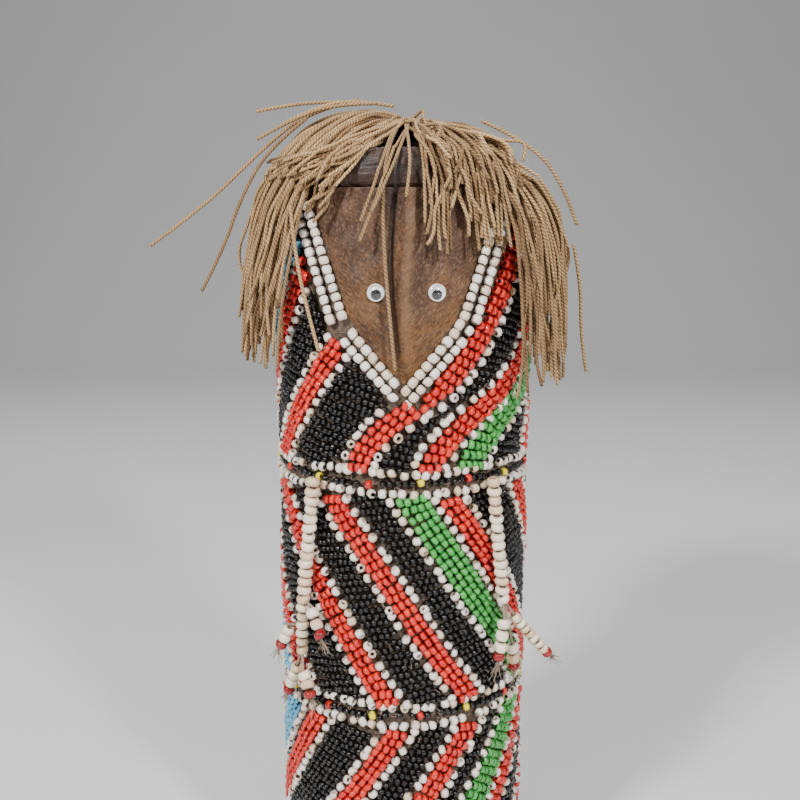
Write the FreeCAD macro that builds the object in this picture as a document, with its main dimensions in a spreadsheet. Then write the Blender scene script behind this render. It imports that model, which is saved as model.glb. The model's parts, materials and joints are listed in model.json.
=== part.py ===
import FreeCAD, Part
import math
import os
import Sketcher

# A beaded doll: a round wooden core in a cloth sleeve, stripes of seed beads, a hide face with rolling
# eyes, two hanging bead arms with fingers, and a mop of twine. Z is up, the face looks along -Y, and the
# origin is the middle of the base. An angle round the body is counted from the front towards +X.

doc = FreeCAD.newDocument("BeadedDoll")
V = FreeCAD.Vector

# ---------------------------------------------------------------- driving sizes, in mm and degrees

SIZES = {
    "coreRadius": 37.4, "rimHeight": 242.0, "headHeight": 260.0, "soleThickness": 2.9,
    "sleeveInner": 37.6, "sleeveOuter": 39.2, "capThickness": 1.6,
    "seedBead": 2.7, "rowPitch": 3.1, "shoulderHeight": 155.0, "hipHeight": 79.5, "hemHeight": 4.0,
    "neckTopHalf": 27.5, "neckCornerHalf": 15.5, "neckCornerHeight": 206.5, "chinHeight": 188.0,
    "edgeBead": 3.1, "edgePitch": 2.8, "browRadius": 36.2, "browHeight": 249.6, "browSweep": 98.0,
    "browThick": 3.4, "browTall": 6.2,
    "eyeRadius": 2.55, "eyeWall": 0.3, "eyeFloor": 0.4, "eyeRim": 0.95, "eyeDepth": 2.0,
    "pupilRadius": 1.25, "pupilThickness": 0.35, "pupilDrop": 0.6, "eyeHeight": 215.2,
    "armBead": 4.3, "armPitch": 3.0, "wristBead": 4.0, "wristPitch": 2.45, "armRadius": 45.2,
    "armAngle": 41.0, "threadRadius": 0.45, "boreRadius": 0.7,
    "cordRadius": 0.55, "hairInner": 42.7, "hairGap": 0.8,
    "seatGap": 0.1, "capSlip": 0.2, "capLift": 0.15, "soleChamfer": 0.8, "threadGap": 0.05, "stripGap": 0.12,
    "panelGap": 0.35, "domeGap": 0.02, "pupilGap": 0.08, "rimMargin": 0.3, "cutMargin": 5.0, "neckCutDepth": 60.0,
}


def make_sheet():
    sheet = doc.addObject("Spreadsheet::Sheet", "Sizes")
    for row, (alias, value) in enumerate(SIZES.items(), start=1):
        sheet.set("A%d" % row, alias)
        sheet.set("B%d" % row, str(value))
        sheet.setAlias("B%d" % row, alias)
    doc.recompute()
    return sheet


sheet = make_sheet()


def size(alias):
    """The value of a cell of the sheet."""
    return float(sheet.get(alias))


def sin(angle):
    return math.sin(math.radians(angle))


def cos(angle):
    return math.cos(math.radians(angle))


def around(radius, angle, height):
    """A point at an angle round the body, 0 at the front and positive towards +X."""
    return V(radius * sin(angle), -radius * cos(angle), height)


def feature(label, solids):
    """A sub-part of one or more solids whose shapes are worked out here from the sheet's sizes."""
    item = doc.addObject("Part::Feature", label)
    item.Label = label
    item.Shape = Part.makeCompound(solids)
    item.Placement = FreeCAD.Placement()
    return item


# ---------------------------------------------------------------- sketches and bodies


def new_body(label, placement=None):
    body = doc.addObject("PartDesign::Body", label)
    body.Label = label
    if placement:
        body.Placement = placement
    return body


def origin_plane(body, role):
    return next(item for item in body.Origin.OriginFeatures if item.Role == role)


def new_sketch(body, name, role):
    sketch = body.newObject("Sketcher::SketchObject", name)
    sketch.AttachmentSupport = [(origin_plane(body, role), "")]
    sketch.MapMode = "FlatFace"
    return sketch


def draw_profile(sketch, corners, arcs=()):
    """A closed outline through corners, each made by corner(). An edge whose number is in arcs is an arc
    about a point on the upright axis, and the others are straight."""
    count = len(corners)
    points = [V(first, second, 0) for first, second, _, _ in corners]
    for edge in range(count):
        start, end = points[edge], points[(edge + 1) % count]
        if edge in arcs:
            centre = (start.x**2 + start.y**2 - end.x**2 - end.y**2) / (2 * (start.y - end.y))
            circle = Part.Circle(V(0, centre, 0), V(0, 0, 1), (start - V(0, centre, 0)).Length)
            turns = sorted(math.atan2(p.y - centre, p.x) for p in (start, end))
            sketch.addGeometry(Part.ArcOfCircle(circle, turns[0], turns[1]), False)
            sketch.addConstraint(Sketcher.Constraint("DistanceX", -1, 1, edge, 3, 0.0))
        else:
            sketch.addGeometry(Part.LineSegment(start, end), False)
    for edge in range(count):
        after = (edge + 1) % count
        end_of_edge = ends(edge, arcs, points, count)[1]
        start_of_next = ends(after, arcs, points, count)[0]
        sketch.addConstraint(Sketcher.Constraint("Coincident", edge, end_of_edge, after, start_of_next))
    for edge, (first, second, first_rule, second_rule) in enumerate(corners):
        start = ends(edge, arcs, points, count)[0]
        for way, value, rule in (("DistanceX", first, first_rule), ("DistanceY", second, second_rule)):
            index = sketch.addConstraint(Sketcher.Constraint(way, -1, 1, edge, start, value))
            if rule:
                sketch.setExpression("Constraints[%d]" % index, rule)


def ends(edge, arcs, points, count):
    """The point numbers, 1 or 2, at an edge's start and end. An arc runs anticlockwise."""
    if edge in arcs and points[edge].x < points[(edge + 1) % count].x:
        return 2, 1
    return 1, 2


def corner(first, second, first_rule="", second_rule=""):
    """A corner's distances across and up, and the sheet's expressions that hold them."""
    return first, second, first_rule, second_rule


def turned_body(label, corners, arcs=(), placement=None):
    """A body of revolution about its own upright axis."""
    body = new_body(label, placement)
    sketch = new_sketch(body, label + "_profile", "XZ_Plane")
    draw_profile(sketch, corners, arcs)
    turned = body.newObject("PartDesign::Revolution", label + "_turned")
    turned.Profile = sketch
    turned.ReferenceAxis = (sketch, ["V_Axis"])
    turned.Angle = 360.0
    body.Tip = turned
    doc.recompute()
    return body


# ---------------------------------------------------------------- core, sole, sleeve and cap


def make_core():
    radius, sole = size("coreRadius"), size("soleThickness") + size("seatGap")
    rim, head = size("rimHeight"), size("headHeight")
    return turned_body("wooden_core", [
        corner(0, sole, "", "Sizes.soleThickness + Sizes.seatGap"),
        corner(radius, sole, "Sizes.coreRadius", "Sizes.soleThickness + Sizes.seatGap"),
        corner(radius, rim, "Sizes.coreRadius", "Sizes.rimHeight"),
        corner(0, head, "", "Sizes.headHeight"),
    ], arcs=(2,))


def make_sole():
    """The flat disc that closes the bottom, with a softened lower edge."""
    body = new_body("base_disc")
    sketch = new_sketch(body, "base_disc_outline", "XY_Plane")
    sketch.addGeometry(Part.Circle(V(0, 0, 0), V(0, 0, 1), size("sleeveOuter")), False)
    sketch.addConstraint(Sketcher.Constraint("Coincident", 0, 3, -1, 1))
    index = sketch.addConstraint(Sketcher.Constraint("Radius", 0, size("sleeveOuter")))
    sketch.setExpression("Constraints[%d]" % index, "Sizes.sleeveOuter")
    pad = body.newObject("PartDesign::Pad", "base_disc_pad")
    pad.Profile = sketch
    pad.setExpression("Length", "Sizes.soleThickness")
    doc.recompute()
    low_edge = next(
        number for number, edge in enumerate(pad.Shape.Edges, start=1)
        if edge.BoundBox.ZMax < 0.01 and edge.BoundBox.XLength > 1
    )
    chamfer = body.newObject("PartDesign::Chamfer", "base_disc_edge")
    chamfer.Base = (pad, ["Edge%d" % low_edge])
    chamfer.setExpression("Size", "Sizes.soleChamfer")
    body.Tip = chamfer
    return body


# How far the neckline's corners and chin drop for each mm that the neckline is grown, and the block that
# is cut to its outline: how far in front of the axis it starts, its depth and how far it rises.
CORNER_DROP, CHIN_DROP = 0.4, 1.3
BLOCK_FRONT, BLOCK_DEPTH, BLOCK_RISE = 60.0, 50.0, 30.0


def neck_outline(grow):
    """The V of the neckline as points across and up, grown outwards by a few mm."""
    top, chin = size("rimHeight"), size("chinHeight")
    half, bend = size("neckTopHalf") + grow, size("neckCornerHalf") + grow
    height = size("neckCornerHeight") - CORNER_DROP * grow
    low = chin - CHIN_DROP * grow
    return [(-half, top), (-bend, height), (0, low), (bend, height), (half, top)]


def neck_prism(grow):
    """A block through the front half of the body with the neckline's outline."""
    points = [V(x, -BLOCK_FRONT, z) for x, z in neck_outline(grow)]
    rise = V(0, 0, BLOCK_RISE)
    points = [points[0] + rise] + points + [points[-1] + rise]
    face = Part.Face(Part.makePolygon(points + [points[0]]))
    return face.extrude(V(0, BLOCK_DEPTH, 0))


def make_sleeve():
    """The cloth that the beads are sewn to: a tube with the V of the neckline cut out of its front."""
    inner, outer = size("sleeveInner"), size("sleeveOuter")
    low, rim = size("soleThickness") + size("seatGap"), size("rimHeight")
    body = turned_body("cloth_sleeve", [
        corner(inner, low, "Sizes.sleeveInner", "Sizes.soleThickness + Sizes.seatGap"),
        corner(outer, low, "Sizes.sleeveOuter", "Sizes.soleThickness + Sizes.seatGap"),
        corner(outer, rim, "Sizes.sleeveOuter", "Sizes.rimHeight"),
        corner(inner, rim, "Sizes.sleeveInner", "Sizes.rimHeight"),
    ])
    whole = body.Shape.Volume
    sketch = new_sketch(body, "neckline", "XZ_Plane")
    over = rim + size("cutMargin")
    half, bend = size("neckTopHalf"), size("neckCornerHalf")
    height, chin = size("neckCornerHeight"), size("chinHeight")
    draw_profile(sketch, [
        corner(-half, over, "-Sizes.neckTopHalf", "Sizes.rimHeight + Sizes.cutMargin"),
        corner(-half, rim, "-Sizes.neckTopHalf", "Sizes.rimHeight"),
        corner(-bend, height, "-Sizes.neckCornerHalf", "Sizes.neckCornerHeight"),
        corner(0, chin, "", "Sizes.chinHeight"),
        corner(bend, height, "Sizes.neckCornerHalf", "Sizes.neckCornerHeight"),
        corner(half, rim, "Sizes.neckTopHalf", "Sizes.rimHeight"),
        corner(half, over, "Sizes.neckTopHalf", "Sizes.rimHeight + Sizes.cutMargin"),
    ])
    cut = body.newObject("PartDesign::Pocket", "neckline_cut")
    cut.Profile = sketch
    cut.setExpression("Length", "Sizes.neckCutDepth")
    cut.Reversed = True
    body.Tip = cut
    doc.recompute()
    probe = Part.makeBox(10, BLOCK_FRONT, 20, V(-5, -BLOCK_FRONT, rim - 20))
    if cut.Shape.Volume > whole - 100 or cut.Shape.common(probe).Volume > 1:
        raise RuntimeError("the neckline did not cut the front of the sleeve")
    return body


# The fold of the nose is a slim cone: its radii at the chin and the brow, how far its axis lies to the
# right of the middle and inside the sleeve's surface, and how far it stops short of the chin and the rim.
NOSE = {"low": 1.0, "high": 2.6, "right": 0.4, "sunk": 2.0, "above_chin": 8.0, "below_rim": 1.0}
FACE_GAP = 0.15


def make_face():
    """The hide let into the neckline, with the fold of the nose standing along its middle."""
    inner, outer, rim = size("sleeveInner"), size("sleeveOuter"), size("rimHeight")
    low = size("chinHeight") - size("cutMargin")
    shell = Part.makeCylinder(outer, rim - low, V(0, 0, low))
    start = size("chinHeight") + NOSE["above_chin"]
    foot = V(NOSE["right"], NOSE["sunk"] - outer, start)
    nose = Part.makeCone(NOSE["low"], NOSE["high"], rim - start - NOSE["below_rim"], foot)
    shell = shell.fuse(nose).cut(Part.makeCylinder(inner, rim, V(0, 0, low - size("cutMargin"))))
    return feature("face_hide", [shell.common(neck_prism(-FACE_GAP)).removeSplitter()])


def make_cap():
    """The domed hide that the hair is sewn to."""
    radius, thick = size("coreRadius") + size("capSlip"), size("capThickness")
    rim, head = size("rimHeight") + size("capLift"), size("headHeight") + size("capLift")
    inside, outside = "Sizes.coreRadius + Sizes.capSlip", "Sizes.coreRadius + Sizes.capSlip + Sizes.capThickness"
    return turned_body("hide_cap", [
        corner(radius, rim, inside, "Sizes.rimHeight + Sizes.capLift"),
        corner(radius + thick, rim, outside, "Sizes.rimHeight + Sizes.capLift"),
        corner(0, head + thick, "", "Sizes.headHeight + Sizes.capLift + Sizes.capThickness"),
        corner(0, head, "", "Sizes.headHeight + Sizes.capLift"),
    ], arcs=(1, 3))


BROW_CLEAR = 0.35    # how far the brow roll stands above the cap


def make_brow(cap):
    """A stuffed roll of hide that lies along the front of the cap, above the face."""
    radius, height, sweep = size("browRadius"), size("browHeight"), size("browSweep")
    upright = FreeCAD.Rotation(V(1, 0, 0), 90)
    section = Part.Ellipse(V(0, 0, 0), size("browTall"), size("browThick")).toShape()
    section.Placement = FreeCAD.Placement(V(radius, 0, height), upright * FreeCAD.Rotation(V(0, 0, 1), 90))
    roll = Part.Face(Part.Wire([section])).revolve(V(0, 0, 0), V(0, 0, 1), sweep)
    roll.rotate(V(0, 0, 0), V(0, 0, 1), -90 - sweep / 2)
    dome = cap.Shape.copy()
    rim = size("rimHeight")
    filled = Part.makeCylinder(size("coreRadius") + 1, BLOCK_FRONT, V(0, 0, rim + 10 - BLOCK_FRONT))
    raised = dome.copy()
    raised.translate(V(0, 0, BROW_CLEAR))
    return feature("brow_roll", [roll.cut(dome).cut(raised).cut(filled)])


# ---------------------------------------------------------------- eyes

EYE_ANGLES = {"left": -11.6, "right": 14.2}


def eye_placement(angle, drop=0.0):
    """The eye's own upright axis turned to point straight out of the face."""
    seat = size("sleeveOuter") + size("seatGap")
    return FreeCAD.Placement(
        around(seat, angle, size("eyeHeight") - drop), FreeCAD.Rotation(V(0, 0, 1), around(1, angle, 0))
    )


def make_eye(side, angle):
    """A white cup, a loose black disc that rolls round in it, and a clear dome."""
    radius, wall, floor = size("eyeRadius"), size("eyeWall"), size("eyeFloor")
    rim, depth = size("eyeRim"), size("eyeDepth")
    above = rim + size("domeGap")
    made = [turned_body(side + "_eye_cup", [
        corner(0, 0),
        corner(radius, 0, "Sizes.eyeRadius"),
        corner(radius, rim, "Sizes.eyeRadius", "Sizes.eyeRim"),
        corner(radius - wall, rim, "Sizes.eyeRadius - Sizes.eyeWall", "Sizes.eyeRim"),
        corner(radius - wall, floor, "Sizes.eyeRadius - Sizes.eyeWall", "Sizes.eyeFloor"),
        corner(0, floor, "", "Sizes.eyeFloor"),
    ], placement=eye_placement(angle))]
    made.append(turned_body(side + "_eye_dome", [
        corner(radius, above, "Sizes.eyeRadius", "Sizes.eyeRim + Sizes.domeGap"),
        corner(0, depth, "", "Sizes.eyeDepth"),
        corner(0, depth - wall, "", "Sizes.eyeDepth - Sizes.eyeWall"),
        corner(radius - wall, above, "Sizes.eyeRadius - Sizes.eyeWall", "Sizes.eyeRim + Sizes.domeGap"),
    ], arcs=(0, 2), placement=eye_placement(angle)))
    pupil = doc.addObject("Part::Cylinder", side + "_eye_pupil")
    pupil.Label = side + "_eye_pupil"
    pupil.setExpression("Radius", "Sizes.pupilRadius")
    pupil.setExpression("Height", "Sizes.pupilThickness")
    placement = eye_placement(angle, size("pupilDrop"))
    placement.Base = placement.Base + around(floor + size("pupilGap"), angle, 0)
    pupil.Placement = placement
    made.append(pupil)
    return made


# ---------------------------------------------------------------- rings of beads round the body


def make_ring(name, base, step):
    """One string of beads round the body, as a plain ring."""
    ring = doc.addObject("Part::Torus", name)
    ring.setExpression("Radius1", "Sizes.sleeveOuter + Sizes.threadGap + Sizes.seedBead / 2")
    ring.setExpression("Radius2", "Sizes.seedBead / 2")
    ring.setExpression("Placement.Base.z", "Sizes.%s + %d * Sizes.rowPitch" % (base, step))
    return ring


def make_band(name, base):
    """White strings above and below a string of black beads with coloured ones among them."""
    low, high = make_ring(name + "_low", base, 0), make_ring(name + "_high", base, 2)
    white = doc.addObject("Part::Compound", name + "_white")
    white.Label = name + "_white"
    white.Links = [low, high]
    accents = make_ring(name + "_accents", base, 1)
    accents.Label = name + "_accents"
    return [white, accents]


# ---------------------------------------------------------------- slanting stripes of beads

# Each stripe is its colour, the angle where it meets the top of its panel and the angle where it meets
# the bottom. The stripes stand in order round the body.
CHEST = [
    ("red", 65, -20), ("black", 85, -4), ("red", 105, 15), ("green", 125, 34), ("black", 145, 57),
    ("red", 165, 77), ("black", 185, 97), ("red", 205, 117), ("black", 225, 137), ("red", 245, 157),
    ("black", 265, 177), ("red", 285, 197), ("black", 302, 217), ("blue", 318, 236), ("red", 334, 255),
    ("black", 354, 273), ("red", 375, 297), ("black", 398, 314),
]
BELLY_MIDDLES = [
    ("red", -83), ("black", -60), ("red", -38), ("black", -19), ("red", 2.5), ("black", 18), ("green", 34),
    ("red", 51), ("black", 73), ("red", 94), ("black", 114), ("red", 134), ("black", 154), ("red", 174),
    ("black", 194), ("red", 214), ("black", 235), ("blue", 257),
]
BELLY_LEAN = 33
SKIRT_TOPS = [
    ("blue", -59), ("red", -40), ("black", -21.5), ("red", 0.5), ("black", 18.5), ("red", 34), ("black", 49.5),
    ("green", 63), ("red", 79), ("black", 98), ("red", 117), ("black", 136), ("red", 155), ("black", 174),
    ("red", 193), ("black", 212), ("red", 232), ("black", 252), ("red", 275),
]
SKIRT_LEAN = 66


def strip(low, high, left, right):
    """A thin helical strip on the sleeve between two slanting lines, each given by its angles at the
    bottom and at the top."""
    inner, outer = size("sleeveOuter") + size("stripGap"), size("sleeveOuter") + size("seedBead")
    sections = 7
    wires = []
    for number in range(sections):
        share = number / (sections - 1)
        height = low + (high - low) * share
        start = left[0] + (left[1] - left[0]) * share
        end = right[0] + (right[1] - right[0]) * share
        middle = (start + end) / 2
        edges = [
            Part.Arc(around(outer, start, height), around(outer, middle, height), around(outer, end, height)),
            Part.LineSegment(around(outer, end, height), around(inner, end, height)),
            Part.Arc(around(inner, end, height), around(inner, middle, height), around(inner, start, height)),
            Part.LineSegment(around(inner, start, height), around(outer, start, height)),
        ]
        wires.append(Part.Wire([edge.toShape() for edge in edges]))
    return Part.makeLoft(wires, True, False)


def panel_strips(stripes, low, high):
    """Every stripe of a panel by colour, with a narrow white one along each border."""
    border, gap = 1.3, 0.5
    found = {}
    count = len(stripes)
    lines = []
    for number, (_, top, bottom) in enumerate(stripes):
        _, next_top, next_bottom = stripes[(number + 1) % count]
        turn = 360 if number == count - 1 else 0
        lines.append(((bottom + next_bottom + turn) / 2, (top + next_top + turn) / 2))
    for number, (colour, _, _) in enumerate(stripes):
        before = lines[number - 1]
        back = 360 if number == 0 else 0
        left = [angle - back + border + gap for angle in before]
        right = [angle - border - gap for angle in lines[number]]
        found.setdefault(colour, []).append(strip(low, high, left, right))
        white_left = [angle - border for angle in lines[number]]
        white_right = [angle + border for angle in lines[number]]
        found.setdefault("white", []).append(strip(low, high, white_left, white_right))
    return found


# What the two rows of edging leave free beside them, and the volume in mm3 below which an offcut of a
# stripe is left out.
EDGING_CLEAR, SMALLEST_OFFCUT = 1.2, 5.0


def cut_neckline(found):
    """Take the neckline and its two rows of edging out of the stripes."""
    opening = neck_prism(2 * size("edgeBead") + EDGING_CLEAR)
    front_edge = BLOCK_DEPTH - BLOCK_FRONT
    cut = {}
    for colour, strips in found.items():
        cut[colour] = []
        for solid in strips:
            rest = solid.cut(opening) if solid.BoundBox.YMin < front_edge else solid
            cut[colour] += [piece for piece in rest.Solids if piece.Volume > SMALLEST_OFFCUT]
    return cut


def make_panels():
    clear = size("seedBead") / 2 + size("panelGap")
    span = 2 * size("rowPitch")
    chest = panel_strips(CHEST, size("shoulderHeight") + span + clear, size("rimHeight") - size("rimMargin"))
    belly_stripes = [(colour, middle - BELLY_LEAN, middle + BELLY_LEAN) for colour, middle in BELLY_MIDDLES]
    belly = panel_strips(belly_stripes, size("hipHeight") + span + clear, size("shoulderHeight") - clear)
    skirt_stripes = [(colour, top, top - SKIRT_LEAN) for colour, top in SKIRT_TOPS]
    skirt = panel_strips(skirt_stripes, size("hemHeight") + span + clear, size("hipHeight") - clear)
    panels = {"chest": cut_neckline(chest), "belly": belly, "skirt": skirt}
    made = []
    for panel, found in panels.items():
        for colour in ("red", "black", "white"):
            made.append(feature("%s_%s" % (panel, colour), found[colour]))
    for colour in ("green", "blue"):
        strips = [solid for found in panels.values() for solid in found.get(colour, [])]
        made.append(feature(colour + "_stripes", strips))
    return made


# ---------------------------------------------------------------- single beads on a thread


# The fillet of a bead's ends as a share of its length, and the gap between beads on a thread.
ROUND_SHARE, BEAD_GAP = 0.28, 0.12


def bead(diameter, length):
    """A bored bead with rounded ends, about its own upright axis."""
    solid = Part.makeCylinder(diameter / 2, length, V(0, 0, -length / 2))
    round_ends = [edge for edge in solid.Edges if edge.BoundBox.ZLength < 0.01]
    solid = solid.makeFillet(ROUND_SHARE * length, round_ends)
    return solid.cut(Part.makeCylinder(size("boreRadius"), 2 * length, V(0, 0, -length)))


def threaded(points, diameter, pitch):
    """Beads strung along a route, each turned along its own stretch of it."""
    route = Part.makePolygon(points)
    count = int(route.Length / pitch)
    spots = route.discretize(Number=2 * count + 1)
    pattern = bead(diameter, route.Length / count - BEAD_GAP)
    made = []
    for number in range(count):
        start, middle, end = spots[2 * number:2 * number + 3]
        copy = pattern.copy()
        copy.Placement = FreeCAD.Placement(middle, FreeCAD.Rotation(V(0, 0, 1), end - start))
        made.append(copy)
    return made


# Where a row of edging starts and stops, as shares of the way from the rim to the corner and from the
# corner to the chin. The outer row's lower stretch starts a little later, clear of the inner row.
UPPER_STRETCH = (0.02, 0.97)
LOWER_STRETCH = {"inner": (0.08, 0.90), "outer": (0.13, 0.90)}
ROW_CLEAR = 0.24    # the gap between the neckline and its first row, and half the gap between the rows


def neck_route(side, row, offset):
    """One row of the edging as its upper and its lower stretch, on the surface of the sleeve."""
    radius = size("sleeveOuter") + size("seatGap") + size("edgeBead") / 2
    outline = neck_outline(offset)
    top, bend, chin = outline[0], outline[1], outline[2]
    steps = 12
    stretches = []
    for (x0, z0), (x1, z1), (first, last) in ((top, bend, UPPER_STRETCH), (bend, chin, LOWER_STRETCH[row])):
        stretch = []
        for number in range(steps + 1):
            share = first + (last - first) * number / steps
            x = (x0 + (x1 - x0) * share) * (-side)
            stretch.append(V(x, -math.sqrt(radius**2 - x**2), z0 + (z1 - z0) * share))
        stretches.append(stretch)
    return stretches


def make_edging():
    rows = {"inner": size("edgeBead") / 2 + ROW_CLEAR, "outer": 1.5 * size("edgeBead") + 3 * ROW_CLEAR}
    made = []
    for word, side in (("left", -1), ("right", 1)):
        for row, offset in rows.items():
            beads = []
            for stretch in neck_route(side, row, offset):
                beads += threaded(stretch, size("edgeBead"), size("edgePitch"))
            made.append(feature("neck_edging_%s_%s" % (word, row), beads))
    return made


# ---------------------------------------------------------------- arms

# Routes in an arm's own frame: millimetres outwards (away from the face's middle), millimetres out from
# the surface that the arm lies on, and height. A finger is its beads' route, then its red tip.
ARM_TOP, ARM_LOW = (-2.7, 0.0, 156.0), (2.6, 0.0, 117.0)
LEFT_WRIST = [(2.6, 0.0, 116.6), (3.2, 0.0, 107.0), (3.4, 0.0, 99.5)]
FINGERS = {
    "left": {
        "inner": ((-2.2, 1.2, 117.0), (-6.3, 2.0, 111.0), 2),
        "back": ((7.6, 1.0, 108.0), (10.9, 1.4, 102.2), 2),
        "outer": ((4.2, 1.0, 96.4), (8.4, 1.0, 87.2), 3),
        "low": ((0.4, 2.6, 95.6), (-2.4, 2.9, 90.2), 2),
    },
    "right": {
        "inner": ((0.6, 2.4, 113.0), (-1.6, 2.8, 102.4), 3),
        "outer": ((6.0, 1.2, 112.2), (18.6, 3.8, 97.5), 7),
        "low": ((6.6, 0.4, 102.2), (7.8, 0.2, 95.2), 2),
    },
}


def arm_point(side, local):
    """A point of an arm's own frame in the doll's frame. side is -1 on the left and 1 on the right."""
    outwards, out, height = local
    angle = side * size("armAngle")
    along = V(side * cos(angle), side * sin(angle), 0)
    return around(size("armRadius") + out, angle, height) + along * outwards


def thread(points):
    """A thin round thread through points, as straight lengths with rounded joints."""
    radius = size("threadRadius")
    solid = None
    for start, end in zip(points, points[1:]):
        run = Part.makeCylinder(radius, (end - start).Length, start, end - start)
        solid = run if solid is None else solid.fuse(run).fuse(Part.makeSphere(radius, start))
    return solid.removeSplitter()


def make_arm(word, side):
    top, low = arm_point(side, ARM_TOP), arm_point(side, ARM_LOW)
    down = (low - top).normalize()
    pitch = size("armPitch")
    loop_bead = bead(size("armBead"), pitch - BEAD_GAP)
    loop_bead.Placement = FreeCAD.Placement(top - down * pitch / 2, FreeCAD.Rotation(V(0, 0, 1), down))
    beads = threaded([top, low], size("armBead"), pitch)
    strung = [top, low]
    if word == "left":
        wrist = [arm_point(side, local) for local in LEFT_WRIST]
        beads += threaded(wrist, size("wristBead"), size("wristPitch"))
        strung += wrist[1:]
    made = [
        feature("arm_%s_loop" % word, [loop_bead]),
        feature("arm_%s_beads" % word, beads),
        feature("arm_%s_thread" % word, [thread(strung)]),
    ]
    for finger, (start, end, count) in FINGERS[word].items():
        made.append(make_finger("finger_%s_%s" % (word, finger), side, start, end, count))
    return made


TIP_LENGTH, TIP_SLIMMER = 2.6, 0.3    # the red bead at a finger's tip, and how much slimmer it is
ROUNDING = 0.999    # keeps a whole number of beads from rounding down


def make_finger(label, side, start, end, count):
    """A short string of cream beads with a red one at its tip."""
    first, last = arm_point(side, start), arm_point(side, end)
    pitch = (last - first).Length / count
    beads = threaded([first, last], size("wristBead"), pitch * ROUNDING)
    tip = bead(size("wristBead") - TIP_SLIMMER, TIP_LENGTH)
    down = (last - first).normalize()
    middle = last + down * (TIP_LENGTH / 2 + 1.25 * BEAD_GAP)
    tip.Placement = FreeCAD.Placement(middle, FreeCAD.Rotation(V(0, 0, 1), down))
    return feature(label, beads + [tip])


# ---------------------------------------------------------------- hair


HAIR_START = 3.0    # the radius at which the hair springs from the crown
# The corner where the hair leaves the cap: how far in from the hair's inside and how far above the rim.
SHOULDER_IN, SHOULDER_UP = 7.0, 1.8


def lock(label, outer, low, first, last, inner=()):
    """A wedge of the mop between two angles: an outline of radius and height turned about the body's axis.
    Its inside follows the cap and the bead surface unless it is given."""
    gap = size("hairGap")
    radius, rise = size("coreRadius"), size("headHeight") - size("rimHeight")
    ball = (radius**2 + rise**2) / (2 * rise) + size("capThickness") + gap
    centre = size("headHeight") + size("capThickness") + gap - ball
    inside = list(inner)
    if not inner:
        steps = 6
        reach = size("hairInner")
        shoulder = reach - SHOULDER_IN
        rings = [HAIR_START + (shoulder - HAIR_START) * number / steps for number in range(steps + 1)]
        inside = [(ring, centre + math.sqrt(ball**2 - ring**2)) for ring in rings]
        inside += [(reach, size("rimHeight") + SHOULDER_UP), (reach, low), (outer[-1][0], low)]
    outline = inside + list(reversed(outer))
    points = [V(across, 0, up) for across, up in outline]
    face = Part.Face(Part.makePolygon(points + [points[0]]))
    solid = face.revolve(V(0, 0, 0), V(0, 0, 1), last - first)
    solid.rotate(V(0, 0, 0), V(0, 0, 1), first - 90)
    return feature(label, [solid])


LEFT_OUTLINE = [(3, 267.5), (12, 270), (24, 268.5), (35, 262.5), (44, 250), (49.5, 235), (53, 215), (54, 204)]
RIGHT_OUTLINE = [(3, 265.5), (14, 265.5), (26, 262), (38, 254.5), (46.5, 243), (51, 230), (54, 208), (54.5, 196)]
CROWN_OUTLINE = [(3, 267), (14, 265.6), (23, 261.5), (29, 257.5)]
FRINGE_OUTSIDE = [(3, 267), (16, 266), (30, 263.5), (40, 258.5), (45.8, 249), (46.2, 233)]
FRINGE_INSIDE = [(3, 262.5), (18, 261.2), (28, 258.2), (38, 257.5), (42.9, 249), (43.2, 233)]


def make_hair():
    """The mop in five wedges with a hair's breadth between them."""
    gap = size("hairGap") / 2
    crown_inside = [(3, 262.6), (14, 260.8), (23, 257.7), (29, 254.3)]
    return [
        lock("hair_left", LEFT_OUTLINE, 197.0, -130 + gap, -52),
        lock("hair_right", RIGHT_OUTLINE, 187.0, 52, 130 - gap),
        lock("hair_back", RIGHT_OUTLINE, 192.0, 130 + gap, 230 - gap),
        lock("hair_fringe", FRINGE_OUTSIDE, 233.0, 14, 52 - gap, FRINGE_INSIDE),
        lock("hair_crown", CROWN_OUTLINE, 254.0, -52 + gap, 14 - gap, crown_inside),
    ]


# Single cords that stray from the mop, each a route of points chosen by hand.
STRAYS = {
    "stray_long": [(-14, -6, 272.4), (-30, -5.5, 269), (-46, -3, 256.5), (-64, 0, 240), (-83, 1.5, 227)],
    "stray_curl": [(-29, -19, 265.8), (-41, -18, 257), (-50.5, -14, 242), (-57, -9, 226.5), (-65, -6, 213)],
    "stray_top": [(-7, 1.5, 272), (-21, 3.5, 272.8), (-35, 2, 272), (-47, 1, 269.5)],
    "stray_high": [(-3, -6, 270.5), (-13, -8.5, 271.9), (-26, -9.5, 270.6), (-38, -9, 264.6)],
    "stray_side": [(-8, -13, 270.6), (-19, -14.5, 270.4), (-32, -14, 267), (-45, -13, 260)],
    "stray_right": [(24, -13, 265.5), (39, -14, 258.8), (49.5, -13, 247), (55, -9, 234)],
    "stray_outer": [(53.5, -13, 228), (56.5, -12, 214.5), (57, -10, 200), (59.5, -9, 187)],
    "stray_face": [
        (-2, -28, 262), (-4, -38.6, 257.6), (-6, -42, 247), (-5.7, -41.4, 230), (-4.4, -41.6, 212), (-2.4, -43.4, 193)
    ],
    "stray_cheek": [(-33, -33.5, 240), (-32, -33, 227), (-29, -35, 212), (-25, -38, 198)],
}


BEND_SHARE = 0.45    # how much of the shorter run a bend takes up


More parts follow.
